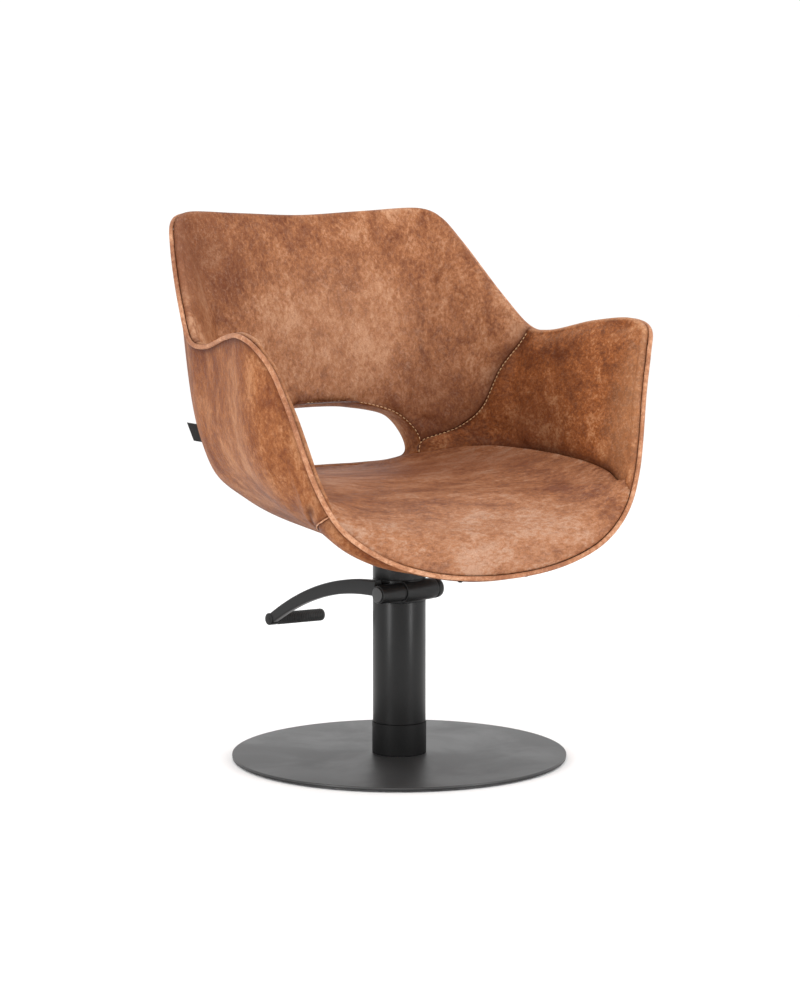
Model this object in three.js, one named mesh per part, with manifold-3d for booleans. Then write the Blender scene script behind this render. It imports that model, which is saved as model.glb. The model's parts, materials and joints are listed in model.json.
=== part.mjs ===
import * as THREE from 'three';
import * as BufferGeometryUtils from 'three/addons/utils/BufferGeometryUtils.js';
import Module from 'manifold-3d';

// Salon styling chair: tub seat on a hydraulic pump column with a round floor plate.
// Millimetres, +Z up, chair faces -Y, its own right-hand arm is on -X.

// ---- driving sizes --------------------------------------------------------
const PLATE_R = 275, PLATE_T = 8, PAD_T = 1.5;
const SLEEVE_R = 44.5, SLEEVE_TOP = 60;
const SHROUD_R = 43.5, SHROUD_BOTTOM = 60.8, SHROUD_TOP = 262;
const GUIDE_R = 38, GUIDE_TOP = 236;
const CYL_R = 24, CYL_BORE = 20, CYL_TOP = 212;
const RAM_R = 15, RAM_TOP = 340;
const HEAD_TOP = 298.8, COLLAR_BOTTOM = 299.2, COLLAR_TOP = 346;
const LEVER_YAW = 10, LEVER_Z = 281, LEVER_FRONT = 36;      // pump shaft: turned 10 deg from X, this far in front
const HOUSING_R = 17.5, HOUSING_IN = -25, HOUSING_OUT = 62;
const HUB_R = 15, HUB_OUT = -75, SHAFT_R = 8, CAM_R = 9, CAM_OFFSET = 4;
const PEDAL_REACH = 294, PEDAL_DROP = 79, GRIP_R = 10.5, GRIP_LEN = 96;
const FLAT_R = 70, FLAT_Z = 352;                             // flat underside of the seat shell
const COVER_T = 3.2, SHELL_T = 8, GAP = 0.4, RIM_T = 17, PIPING_R = 3.6;
const SEAT_Z = 462;
// rim of the tub, right half, front middle to back middle (x, y, z)
const RIM = [[0, -316, 336], [105, -312, 344], [195, -301, 378], [262, -273, 435], [300, -243, 530], [333, -214, 650],
  [358, -185, 704], [362, -130, 716], [338, -20, 700], [324, 75, 683], [314, 142, 711], [285, 236, 800],
  [258, 299, 869], [220, 333, 888], [110, 346, 884], [0, 352, 879]];
// where the seat cushion meets the walls, right half, back middle to front (x, y, z)
const CREASE = [[0, 238, 457], [90, 234, 460], [165, 214, 474], [225, 168, 488], [262, 90, 496], [275, 0, 498],
  [284, -90, 494], [289, -150, 487], [286, -205, 474], [272, -240, 449], [248, -262, 417]];
// seam between back pad and arm pads (x, z): opening corner, bend, two on the slope, rim dip
const SEAM = [[168, 490], [225, 520], [255, 570], [285, 650], [319, 704]];
const SEAM_STEPS = 14;
// lumbar opening outline (x, z), half
const OPEN_HALF = [[0, 565], [60, 562], [105, 552], [133, 540], [152, 522], [163, 503], [166, 487], [160, 472], [140, 463], [80, 459], [0, 458]];

const wasm = await Module();
wasm.setup();
const group = new THREE.Group();
group.name = 'styling_chair';

// ---- materials ------------------------------------------------------------
const LOOK = {
  leather: [0x9c5a34, 0, 0.6], piping: [0x8a4c2a, 0, 0.6], black: [0x1c1c1d, 0.5, 0.5], rubber: [0x111111, 0, 0.85],
  steel: [0x9a9da0, 0.9, 0.35], brass: [0xb08d57, 0.8, 0.4], ply: [0xb58a5a, 0, 0.8], plastic: [0x2a2a2c, 0, 0.6], fabric: [0x0d0d0e, 0, 0.9],
};
function add(name, geometry, look) {
  const [color, metalness, roughness] = LOOK[look];
  const mesh = new THREE.Mesh(geometry, new THREE.MeshStandardMaterial({ name: look, color, metalness, roughness }));
  mesh.name = name;
  group.add(mesh);
}

// ---- solid helpers --------------------------------------------------------
function outward(g) {
  const p = g.attributes.position, ix = g.index.array;
  const a = new THREE.Vector3(), b = new THREE.Vector3(), c = new THREE.Vector3();
  let vol = 0;
  for (let i = 0; i < ix.length; i += 3) {
    a.fromBufferAttribute(p, ix[i]); b.fromBufferAttribute(p, ix[i + 1]); c.fromBufferAttribute(p, ix[i + 2]);
    vol += a.dot(b.cross(c));
  }
  if (vol < 0) for (let i = 0; i < ix.length; i += 3) { const t = ix[i]; ix[i] = ix[i + 1]; ix[i + 1] = t; }
  g.computeVertexNormals();
  return g;
}
function indexed(points, faces) {
  const g = new THREE.BufferGeometry();
  g.setAttribute('position', new THREE.Float32BufferAttribute(points.flat(), 3));
  g.setIndex(faces.flat());
  return g;
}
function clean(geometry) {
  const g = geometry.clone();
  g.deleteAttribute('normal'); g.deleteAttribute('uv');
  return outward(BufferGeometryUtils.mergeVertices(g, 1e-4));
}
// closed solid between two grids a[i][j], b[i][j]; wrap closes i round
function slab(a, b, wrap) {
  const n = a.length, m = a[0].length, pts = [...a.flat(), ...b.flat()], f = [];
  const A = (i, j) => (i % n) * m + j, B = (i, j) => n * m + (i % n) * m + j;
  const quad = (p, q, r, s) => f.push([p, q, r], [p, r, s]);
  const last = wrap ? n : n - 1;
  for (let i = 0; i < last; i++) {
    for (let j = 0; j < m - 1; j++) {
      quad(A(i, j), A(i + 1, j), A(i + 1, j + 1), A(i, j + 1));
      f.push([B(i, j), B(i + 1, j + 1), B(i + 1, j)], [B(i, j), B(i, j + 1), B(i + 1, j + 1)]);
    }
    quad(B(i, 0), B(i + 1, 0), A(i + 1, 0), A(i, 0));
    quad(A(i, m - 1), A(i + 1, m - 1), B(i + 1, m - 1), B(i, m - 1));
  }
  if (!wrap) for (let j = 0; j < m - 1; j++) {
    quad(A(0, j), A(0, j + 1), B(0, j + 1), B(0, j));
    quad(B(n - 1, j), B(n - 1, j + 1), A(n - 1, j + 1), A(n - 1, j));
  }
  return clean(indexed(pts, f));
}
// the same with a[i][0] and b[i][0] each closing to a point
function dish(a, b) {
  const n = a.length, m = a[0].length, pts = [a[0][0], b[0][0]], f = [];
  for (const g of [a, b]) for (const row of g) pts.push(...row.slice(1));
  const A = (i, j) => 2 + (i % n) * (m - 1) + j - 1, B = (i, j) => A(i, j) + n * (m - 1);
  for (let i = 0; i < n; i++) {
    f.push([0, A(i, 1), A(i + 1, 1)], [1, B(i + 1, 1), B(i, 1)]);
    for (let j = 1; j < m - 1; j++) {
      f.push([A(i, j), A(i, j + 1), A(i + 1, j + 1)], [A(i, j), A(i + 1, j + 1), A(i + 1, j)]);
      f.push([B(i, j), B(i + 1, j + 1), B(i, j + 1)], [B(i, j), B(i + 1, j), B(i + 1, j + 1)]);
    }
    f.push([A(i, m - 1), B(i, m - 1), B(i + 1, m - 1)], [A(i, m - 1), B(i + 1, m - 1), A(i + 1, m - 1)]);
  }
  return clean(indexed(pts, f));
}
// body of revolution about +Z from a closed ring of (r, z), or an open one that starts and ends on the axis
function turned(profile, segs = 36) {
  const pts = profile.map(([r, z]) => new THREE.Vector2(r, z));
  if (profile[0][0] > 0) pts.push(pts[0].clone());
  const g = new THREE.LatheGeometry(pts, segs);
  g.rotateX(Math.PI / 2);
  return clean(g);
}
const tube = (ro, ri, z0, z1, segs) => turned([[ri, z0], [ro, z0], [ro, z1], [ri, z1]], segs);
function rod(r, z0, z1, segs = 24, c = 0.6) {
  return turned([[0, z0], [r - c, z0], [r, z0 + c], [r, z1 - c], [r - c, z1], [0, z1]], segs);
}
function toManifold(g) {
  return new wasm.Manifold(new wasm.Mesh({ numProp: 3, vertProperties: Float32Array.from(g.attributes.position.array), triVerts: Uint32Array.from(g.index.array) }));
}
function fromManifold(m) {
  const r = m.getMesh(), g = new THREE.BufferGeometry();
  g.setAttribute('position', new THREE.BufferAttribute(Float32Array.from(r.vertProperties), 3));
  g.setIndex(Array.from(r.triVerts));
  return clean(g);
}
const cut = (g, ...tools) => fromManifold(tools.reduce((m, t) => m.subtract(toManifold(t)), toManifold(g)));
const keep = (g, tool) => fromManifold(toManifold(g).intersect(toManifold(tool)));
// prism along Y of an (x, z) outline
function prismY(outline, y0, y1) {
  const s = new THREE.Shape(outline.map(([x, z]) => new THREE.Vector2(x, z)));
  const g = new THREE.ExtrudeGeometry(s, { depth: y1 - y0, bevelEnabled: false });
  g.rotateX(Math.PI / 2);
  g.translate(0, y1, 0);
  return clean(g);
}
function prismX(outline, x0, x1, holes = []) {
  const s = new THREE.Shape(outline.map(([y, z]) => new THREE.Vector2(y, z)));
  for (const h of holes) s.holes.push(new THREE.Path(h.map(([y, z]) => new THREE.Vector2(y, z))));
  const g = new THREE.ExtrudeGeometry(s, { depth: x1 - x0, bevelEnabled: false });
  g.rotateX(Math.PI / 2); g.rotateZ(Math.PI / 2);
  g.translate(x0, 0, 0);
  return clean(g);
}
const moved = (g, x, y, z) => g.clone().translate(x, y, z);
function grow(outline, d) {
  const n = outline.length, out = [];
  let area = 0;
  for (let i = 0; i < n; i++) { const p = outline[i], q = outline[(i + 1) % n]; area += p[0] * q[1] - q[0] * p[1]; }
  const s = Math.sign(area);
  for (let i = 0; i < n; i++) {
    const p = outline[(i + n - 1) % n], q = outline[(i + 1) % n];
    const tx = q[0] - p[0], tz = q[1] - p[1], l = Math.hypot(tx, tz);
    out.push([outline[i][0] + s * d * tz / l, outline[i][1] - s * d * tx / l]);
  }
  return out;
}

// ---- tub surfaces ---------------------------------------------------------
const mirrorLoop = (half) => [...half, ...half.slice(1, -1).reverse().map(([x, ...r]) => [-x, ...r])];
function polarTable(half, samples) {
  const curve = new THREE.CatmullRomCurve3(mirrorLoop(half).map((p) => new THREE.Vector3(...p)), true, 'centripetal');
  const rows = [];
  for (let i = 0; i < samples; i++) {
    const p = curve.getPoint(i / samples);
    rows.push([Math.atan2(p.y, p.x), Math.hypot(p.x, p.y), p.z]);
  }
  return rows.sort((a, b) => a[0] - b[0]);
}
function lookup(table, th) {
  const T = 2 * Math.PI;
  const a = ((th + Math.PI) % T + T) % T - Math.PI;
  let lo = table[table.length - 1], hi = table[0], l = lo[0] - T, h = hi[0];
  if (a > lo[0]) { l = lo[0]; h = hi[0] + T; } else {
    for (let i = 1; i < table.length && a > table[0][0]; i++) if (table[i][0] >= a) { lo = table[i - 1]; hi = table[i]; l = lo[0]; h = hi[0]; break; }
  }
  const w = (a - l) / (h - l);
  return [lo[1] + w * (hi[1] - lo[1]), lo[2] + w * (hi[2] - lo[2])];
}
const rimTable = polarTable(RIM, 900);
// the crease runs round the back and sides, then follows the inside of the front rim
const frontSeat = [[190, -284, 374], [100, -297, 346], [0, -301, 338]];
const creaseTable = polarTable([...CREASE, ...frontSeat], 900);
const rim = (th) => lookup(rimTable, th), crease = (th) => lookup(creaseTable, th);

// every tub surface shares these directions and stations, so neighbouring faces stay parallel
const RIGHT_HALF = [-78, -66, -56, -48, -42, -36, -30, -22, -12, 0, 12, 22, 30, 40, 52, 64, 77];
const ANGLES = [-90, ...RIGHT_HALF, 90, ...RIGHT_HALF.map((a) => 180 - a).reverse()];
const STATIONS = [0, 0.08, 0.24, 0.42, 0.6, 0.76, 0.88, 1], RIM_INSET = 8;
// outer profile in direction th: cubic from the flat underside to the rim, as [r, z] points; d moves it inwards
function outerProfile(th, d, stations = STATIONS) {
  const s = Math.sin(th), wf = Math.max(0, -s) ** 2, wb = Math.max(0, s) ** 2, ws = 1 - wf - wb;
  const mix = (f, si, b) => wf * f + ws * si + wb * b;
  const [R, Z] = rim(th);
  const k1 = mix(0.9, 1.06, 1.01), k2 = mix(0.69, 0.47, 0.69), lean = mix(12, 8, 86), lift = mix(-42, 108, 5);
  const P = [[FLAT_R, FLAT_Z], [FLAT_R + k1 * (R - FLAT_R), FLAT_Z + lift], [R - lean, Z - Math.max(6, k2 * (Z - FLAT_Z))], [R, Z]];
  const slope = (rim(th + 0.02)[1] - rim(th - 0.02)[1]) / (0.04 * R);
  const end = 1 - RIM_INSET * Math.min(3, Math.hypot(1, slope)) / (3 * Math.hypot(P[3][0] - P[2][0], P[3][1] - P[2][1]));
  return stations.map((station) => {
    const t = Math.min(station, end), u = 1 - t;
    const b = [u * u * u, 3 * u * u * t, 3 * u * t * t, t * t * t], e = [-3 * u * u, 3 * u * u - 6 * u * t, 6 * u * t - 3 * t * t, 3 * t * t];
    let r = 0, z = 0, dr = 0, dz = 0;
    P.forEach(([pr, pz], k) => { r += b[k] * pr; z += b[k] * pz; dr += e[k] * pr; dz += e[k] * pz; });
    const l = Math.hypot(dr, dz);
    return [r - d * dz / l, z + d * dr / l];
  });
}
const spin = (profile, th) => profile.map(([r, z]) => [r * Math.cos(th), r * Math.sin(th), z]);
// directions from..to in degrees, on the lattice; inset moves the two ends together by a few tenths of a degree
function sweep(from, to, fn, inset = 0) {
  const used = ANGLES.filter((a) => a >= from && a <= to), last = used.length - 1;
  const row = (i) => { const th = used[i] * Math.PI / 180; return spin(fn(th), th); };
  return used.map((_, i) => {
    const here = row(i);
    if (!inset || (i > 0 && i < last)) return here;
    const other = row(i ? last - 1 : 1);
    return here.map((p, j) => p.map((v, k) => v + (other[j][k] - v) * inset));
  });
}
const ring = (fn) => ANGLES.map((a) => { const th = a * Math.PI / 180; return spin(fn(th), th); });
// inner wall from the crease to the inside of the rim
function wallProfile(th, n) {
  const [R, Z] = rim(th), [rc, zc] = crease(th);
  const s = Math.sin(th), wb = Math.max(0, s) ** 2;
  const H = Z - zc, re = R - RIM_T, out = [];
  const P = [[rc + GAP, zc], [rc + 12 + 14 * wb, zc + 0.3 * H], [re - 0.12 * H - 10 * wb, Z - 0.4 * H], [re, Z - 2]];
  for (let i = 0; i <= n; i++) {
    const t = i / n, u = 1 - t, b = [u * u * u, 3 * u * u * t, 3 * u * t * t, t * t * t];
    out.push([0, 1].map((k) => P.reduce((a, p, j) => a + b[j] * p[k], 0)));
  }
  return out;
}
// seat surface height at polar position: dished middle, raised sides, rolled front
function seatProfile(th, n) {
  const [rc, zc] = crease(th), out = [];
  const s = Math.sin(th), front = Math.max(0, -s - 0.45) / 0.55;
  for (let i = 0; i <= n; i++) {
    const t = i / n;
    const flat = SEAT_Z + (Math.max(zc, 462) - SEAT_Z) * t ** 2;
    const roll = Math.max(0, SEAT_Z - zc) * (1 - Math.sqrt(Math.max(0, 1 - Math.max(0, (t - 0.5) / 0.5) ** 2)));
    out.push([(rc - GAP) * t, (zc < SEAT_Z ? SEAT_Z - roll : flat) + 6 * (1 - t * t) * (1 - front * 0.5)]);
  }
  return out;
}

// ---- floor plate and column ----------------------------------------------
function base() {
  add('floor_pad', turned([[0, 0], [262, 0], [262, PAD_T], [0, PAD_T]], 48), 'rubber');
  const holes = [45, 135, 225, 315].map((a) => [29.5 * Math.cos(a * Math.PI / 180), 29.5 * Math.sin(a * Math.PI / 180)]);
  const bores = (r, z0, z1) => holes.map(([x, y]) => moved(turned([[0, z0], [r, z0], [r, z1], [0, z1]], 8), x, y, 0));
  const b = PAD_T + 0.3;
  const plate = turned([[0, b], [PLATE_R - 1.2, b], [PLATE_R, b + 1.2], [PLATE_R, PLATE_T - 2], [PLATE_R - 2, PLATE_T], [0, PLATE_T]], 56);
  add('base_plate', cut(plate, ...bores(3.3, 0, 20)), 'black');
  add('column_flange', cut(turned([[0, PLATE_T + 0.3], [41, PLATE_T + 0.3], [41, 16], [0, 16]], 24), ...bores(3.3, 0, 20)), 'steel');
  holes.forEach(([x, y], i) => add(`base_bolt_${i + 1}`, moved(turned([[0, 3], [3, 3], [3, 16.3], [5, 16.3], [5, 21.6], [0, 21.6]], 8), x, y, 0), 'steel'));
  add('lower_sleeve', turned([[42.6, PLATE_T + 0.3], [SLEEVE_R, PLATE_T + 0.3], [SLEEVE_R, SLEEVE_TOP - 1], [SLEEVE_R - 1, SLEEVE_TOP], [42.6, SLEEVE_TOP]], 40), 'black');
  add('guide_tube', tube(GUIDE_R, 35, 16.3, GUIDE_TOP, 32), 'black');
  add('pump_cylinder', turned([[0, 16.3], [CYL_R, 16.3], [CYL_R, CYL_TOP], [CYL_BORE, CYL_TOP], [CYL_BORE, 24], [0, 24]], 20), 'steel');
  add('gland_ring', turned([[RAM_R + 0.25, CYL_TOP + 0.3], [CYL_R, CYL_TOP + 0.3], [CYL_R, CYL_TOP + 10], [CYL_R - 3, CYL_TOP + 13], [RAM_R + 0.25, CYL_TOP + 13]], 20), 'brass');
}

// ---- what rises with the pump ---------------------------------------------
const LX = Math.cos(LEVER_YAW * Math.PI / 180), LY = Math.sin(LEVER_YAW * Math.PI / 180);
// place a shape built with the pump shaft along X through the origin
const onShaft = (g) => { const h = g.clone(); h.rotateZ(LEVER_YAW * Math.PI / 180); h.translate(LEVER_FRONT * LY, -LEVER_FRONT * LX, LEVER_Z); return h; };
const acrossX = (profile, segs) => { const g = turned(profile.map(([r, s]) => [r, s]), segs); g.rotateY(Math.PI / 2); return clean(g); };

function lift() {
  add('ram', rod(RAM_R, 40, RAM_TOP, 20, 1.5), 'steel');
  add('piston', turned([[0, 27], [CYL_BORE - 0.1, 27], [CYL_BORE - 0.1, 39.6], [0, 39.6]], 20), 'steel');
  add('shroud', tube(SHROUD_R, 41.5, SHROUD_BOTTOM, SHROUD_TOP, 40), 'black');
  add('shroud_bush', tube(41.1, GUIDE_R + 0.1, 64, 80, 32), 'plastic');
  const housingHole = onShaft(acrossX([[0, -90], [HOUSING_R + 0.3, -90], [HOUSING_R + 0.3, 80], [0, 80]], 28));
  const head = turned([[RAM_R + 0.3, SHROUD_TOP + 0.3], [SHROUD_R, SHROUD_TOP + 0.3], [SHROUD_R, HEAD_TOP], [RAM_R + 0.3, HEAD_TOP]], 40);
  const front = onShaft(clean(new THREE.BoxGeometry(120, 30, 60)).translate(0, -15, 0));
  const px = LEVER_FRONT * LY, py = -LEVER_FRONT * LX;
  const bore = moved(turned([[0, 200], [3.85, 200], [3.85, 300], [0, 300]], 12), px, py, 0);
  const clear = moved(turned([[0, 255], [4.4, 255], [4.4, 272], [0, 272]], 12), px, py, 0);
  add('pump_head', cut(head, housingHole, front, clear), 'black');
  add('pump_block', cut(turned([[RAM_R + 0.3, 238], [41, 238], [41, SHROUD_TOP - 0.2], [RAM_R + 0.3, SHROUD_TOP - 0.2]], 20), bore), 'steel');
  const tub = acrossX([[SHAFT_R + 0.05, HOUSING_IN], [HOUSING_R - 0.6, HOUSING_IN], [HOUSING_R, HOUSING_IN + 0.6], [HOUSING_R, 30], [HOUSING_R - 1.4, HOUSING_OUT - 5],
    [HOUSING_R - 3, HOUSING_OUT - 1], [HOUSING_R - 5, HOUSING_OUT], [SHAFT_R + 0.05, HOUSING_OUT], [SHAFT_R + 0.05, 9], [13.6, 9], [13.6, -9], [SHAFT_R + 0.05, -9]], 28);
  add('lever_housing', cut(onShaft(tub), clear), 'black');
  add('plunger', moved(turned([[0, 242], [3.8, 242], [3.8, LEVER_Z - CAM_R - 1.2], [3, LEVER_Z - CAM_R - 0.2], [0, LEVER_Z - CAM_R - 0.2]], 12), px, py, 0), 'steel');
}

// ---- pump lever -----------------------------------------------------------
function lever() {
  const hub = acrossX([[SHAFT_R + 0.3, HUB_OUT], [HUB_R - 1, HUB_OUT], [HUB_R, HUB_OUT + 1], [HUB_R, HOUSING_IN - 1.2], [HUB_R - 1, HOUSING_IN - 0.4], [SHAFT_R + 0.3, HOUSING_IN - 0.4]], 28);
  add('lever_shaft', onShaft(acrossX([[0, HUB_OUT + 0.5], [SHAFT_R, HUB_OUT + 0.5], [SHAFT_R, -8.4], [SHAFT_R - 3.2, -8.4], [SHAFT_R - 3.2, 8.4], [SHAFT_R, 8.4], [SHAFT_R, HOUSING_OUT - 6], [0, HOUSING_OUT - 6]], 28)), 'steel');
  const lobe = acrossX([[0, -8], [CAM_R, -8], [CAM_R, 8], [0, 8]], 20).translate(0, CAM_OFFSET, 0);
  add('pump_cam', onShaft(cut(lobe, acrossX([[0, -20], [SHAFT_R - 2.9, -20], [SHAFT_R - 2.9, 20], [0, 20]], 16))), 'steel');
  add('hub_cap', onShaft(acrossX([[0, HUB_OUT - 2.6], [11, HUB_OUT - 2.6], [12.2, HUB_OUT - 1.6], [12.2, HUB_OUT - 0.3], [0, HUB_OUT - 0.3]], 24)), 'black');
  // curved bar in the shaft's YZ plane
  const upper = [], lower = [], steps = 10;
  for (let i = 0; i <= steps; i++) {
    const t = i / steps, y = 12 + (PEDAL_REACH - 12) * t;
    const mid = 6 - (PEDAL_DROP + 6) * t ** 2.1, half = 13 - 4.5 * t;
    const slope = Math.atan(-(PEDAL_DROP + 6) * 2.1 * t ** 1.1 / (PEDAL_REACH - 12));
    upper.push([y - half * Math.sin(slope), mid + half * Math.cos(slope)]);
    lower.push([y + half * Math.sin(slope), mid - half * Math.cos(slope)]);
  }
  const bar = prismX([...upper, ...lower.reverse()], HUB_OUT + 3, HUB_OUT + 17);
  const around = acrossX([[0, HUB_OUT - 5], [HUB_R + 0.3, HUB_OUT - 5], [HUB_R + 0.3, 0], [0, 0]], 28);
  const ex = PEDAL_REACH - 2, ez = -PEDAL_DROP, at = (g) => g.translate(0, ex, ez);
  const endHole = at(acrossX([[0, HUB_OUT - 5], [10.7, HUB_OUT - 5], [10.7, HUB_OUT + 30], [0, HUB_OUT + 30]], 20));
  add('lever_hub', onShaft(hub), 'black');
  add('lever_arm', onShaft(cut(bar, around, endHole)), 'black');
  add('arm_boss', onShaft(at(acrossX([[5.3, HUB_OUT + 1.5], [9.3, HUB_OUT + 1.5], [10.3, HUB_OUT + 2.5], [10.3, HUB_OUT + 17.6], [9.3, HUB_OUT + 18.6], [5.3, HUB_OUT + 18.6]], 20))), 'black');
  add('pedal_rod', onShaft(at(acrossX([[0, HUB_OUT + 0.8], [5, HUB_OUT + 0.8], [5, HUB_OUT + 12 + GRIP_LEN], [0, HUB_OUT + 12 + GRIP_LEN]], 12))), 'steel');
  const g0 = HUB_OUT + 19.2, g1 = g0 + GRIP_LEN;
  add('pedal_grip', onShaft(at(acrossX([[5.4, g0], [GRIP_R - 0.8, g0], [GRIP_R, g0 + 1], [GRIP_R, g1 - 7], [GRIP_R - 2.4, g1 - 2], [GRIP_R - 6, g1], [0, g1], [0, g1 - 5], [5.4, g1 - 5]], 20))), 'rubber');
}

// ---- swivel head under the seat -------------------------------------------
function swivel() {
  add('swivel_collar', turned([[RAM_R + 0.25, COLLAR_BOTTOM], [SHROUD_R - 0.6, COLLAR_BOTTOM], [SHROUD_R, COLLAR_BOTTOM + 0.6], [SHROUD_R, COLLAR_TOP], [RAM_R + 0.25, COLLAR_TOP]], 40), 'black');
  const at = [45, 135, 225, 315].map((a) => [54 * Math.cos(a * Math.PI / 180), 54 * Math.sin(a * Math.PI / 180)]);
  const bores = (r) => at.map(([x, y]) => moved(turned([[0, 330], [r, 330], [r, 400], [0, 400]], 10), x, y, 0));
  const top = FLAT_Z + COVER_T;
  add('seat_mount_plate', cut(turned([[0, COLLAR_TOP + 0.3], [66, COLLAR_TOP + 0.3], [66, top - 0.3], [0, top - 0.3]], 28), ...bores(4.3)), 'black');
  at.forEach(([x, y], i) => {
    add(`plate_screw_${i + 1}`, moved(turned([[0, 341.6], [6.4, 341.6], [6.4, COLLAR_TOP], [3.8, COLLAR_TOP], [3.8, 384], [0, 384]], 10), x, y, 0), 'steel');
    add(`tee_nut_${i + 1}`, moved(turned([[4.2, top + SHELL_T + 0.4], [10, top + SHELL_T + 0.4], [10, top + SHELL_T + 2], [6, top + SHELL_T + 2], [6, 374], [4.2, 374]], 10), x, y, 0), 'steel');
  });
  return bores;
}

// solid filling the tub inside offset d, closed over by a cone
function cavitySolid(d) {
  const rows = ring((th) => outerProfile(th, d)), n = rows.length, m = rows[0].length;
  const pts = [[0, 0, FLAT_Z + d], [0, 0, 1500], ...rows.flat()], f = [];
  const A = (i, j) => 2 + (i % n) * m + j;
  for (let i = 0; i < n; i++) {
    f.push([0, A(i, 0), A(i + 1, 0)], [1, A(i + 1, m - 1), A(i, m - 1)]);
    for (let j = 0; j < m - 1; j++) f.push([A(i, j), A(i, j + 1), A(i + 1, j + 1)], [A(i, j), A(i + 1, j + 1), A(i + 1, j)]);
  }
  return toManifold(clean(indexed(pts, f)));
}

// ---- tub ------------------------------------------------------------------
function tub(plateBores) {
  const openOutline = mirrorLoop(OPEN_HALF);
  const opening = prismY(grow(openOutline, 3), 120, 420);
  // structural shell
  const d0 = COVER_T + GAP, d1 = d0 + SHELL_T;
  const shellSide = (d) => (th) => [[0, FLAT_Z + d], ...outerProfile(th, d)];
  add('seat_shell', cut(dish(ring(shellSide(d0)), ring(shellSide(d1))), opening, ...plateBores(4.3)), 'ply');
  // outer covers
  const cover = (d) => (th) => outerProfile(th, d).slice(1);
  const panel = (from, to) => slab(sweep(from, to, cover(0), 0.02), sweep(from, to, cover(COVER_T), 0.02), false);
  add('outer_back', cut(panel(30, 150), opening), 'leather');
  add('outer_left', panel(-42, 30), 'leather');
  add('outer_right', panel(150, 222), 'leather');
  add('outer_front', panel(-138, -42), 'leather');
  // small black fabric tag sewn into the seam behind the right arm
  const side = (z) => { const q = outerProfile(150 * Math.PI / 180, 0); let k = 1; while (k < q.length - 1 && q[k][1] < z) k++; return q[k - 1][0] + (q[k][0] - q[k - 1][0]) * (z - q[k - 1][1]) / (q[k][1] - q[k - 1][1]); };
  const tag = prismX([[side(520) - 0.6, 520], [side(520) + 17, 523], [side(550) + 17, 553], [side(550) - 0.6, 550]], -0.5, 0.5);
  add('side_tag', tag.rotateZ(60 * Math.PI / 180), 'fabric');
  // screws that hold the covers underneath
  for (const [name, a, j] of [['lip_screw_1', -78, 4], ['lip_screw_2', -102, 4], ['cover_screw_1', 216, 2], ['cover_screw_2', -36, 2]]) {
    const th = a * Math.PI / 180, [p, q] = [outerProfile(th, 0)[j], outerProfile(th, 0)[j + 1]], tilt = Math.atan2(q[1] - p[1], q[0] - p[0]);
    const r = (p[0] + q[0]) / 2 + 3.1 * Math.sin(tilt), z = (p[1] + q[1]) / 2 - 3.1 * Math.cos(tilt);
    const g = turned([[0, -2.4], [3, -2.4], [4.6, -1.4], [4.6, 0], [0, 0]], 10);
    g.rotateY(-tilt); g.translate(r, 0, z - 0.3); g.rotateZ(th);
    add(name, g, 'black');
  }
  // everything inside the shell
  const inside = (g) => fromManifold(toManifold(g).intersect(cavitySolid(d1 + GAP)));
  // wall padding, then divided at the seams
  const inner = (th) => { const w = wallProfile(th, 6); return [[w[0][0], w[0][1] - 160], ...w]; };
  const beyond = (th) => inner(th).map(([r, z]) => [r + 110, z]);
  const walls = inside(slab(sweep(-48, 228, inner, 0.02), sweep(-48, 228, beyond, 0.02), false));
  const seamCurve = new THREE.SplineCurve(SEAM.map(([x, z]) => new THREE.Vector2(x, z)));
  const seam = seamCurve.getPoints(SEAM_STEPS).map((p) => [p.x, p.y]);
  const dipZ = SEAM.at(-1)[1];
  const region = (g) => {
    const side = [...seam.map(([x, z]) => [x + g, z - g]), [440, dipZ - g], [440, 960]];
    return [...side, ...side.map(([x, z]) => [-x, z]).reverse()];
  };
  const backTool = prismY(region(-0.2), 80, 460), backHole = prismY(region(0.2), 79.6, 460);
  const sillTool = (g) => prismY([[-158 - g, 330], [158 + g, 330], [158 + g, 482], [-158 - g, 482]], 110, 460);
  add('back_pad', cut(keep(walls, backTool), opening), 'leather');
  const arms = cut(walls, opening, backHole, sillTool(0.2));
  const half = (x0, x1) => prismY([[x0, 300], [x1, 300], [x1, 960], [x0, 960]], -460, 460);
  add('arm_pad_left', keep(arms, half(0.5, 460)), 'leather');
  add('arm_pad_right', keep(arms, half(-460, -0.5)), 'leather');
  add('rear_sill_pad', cut(keep(walls, sillTool(-0.2)), opening, backHole), 'leather');
  // lining of the lumbar opening
  const through = (th) => outerProfile(th, 1, [0.2, 0.3, 0.4, 0.5, 0.6, 0.68, 0.76, 0.82, 0.88]);
  const face = (th) => { const w = wallProfile(th, 6); return [[w[0][0] - 12, FLAT_Z + 40], [w[0][0] - 4, FLAT_Z + 80], ...w.map(([r, z]) => [r + 1.2, z])]; };
  const liner = cut(prismY(grow(openOutline, 2.6), 121, 419), prismY(openOutline, 100, 440));
  add('opening_lining', keep(liner, slab(sweep(30, 150, through), sweep(30, 150, face), false)), 'leather');
  // seat cushion on a board
  const board = turned([[0, 378], [150, 378], [150, 390], [0, 390]], 28);
  add('seat_board', cut(inside(board), ...plateBores(10.4)), 'ply');
  const cushion = inside(dish(ring((th) => seatProfile(th, 8)), ring((th) => seatProfile(th, 8).map(([r]) => [r, 300]))));
  add('seat_cushion', cut(cushion, turned([[0, 340], [151, 340], [151, 390.4], [0, 390.4]], 28)), 'leather');
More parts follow.
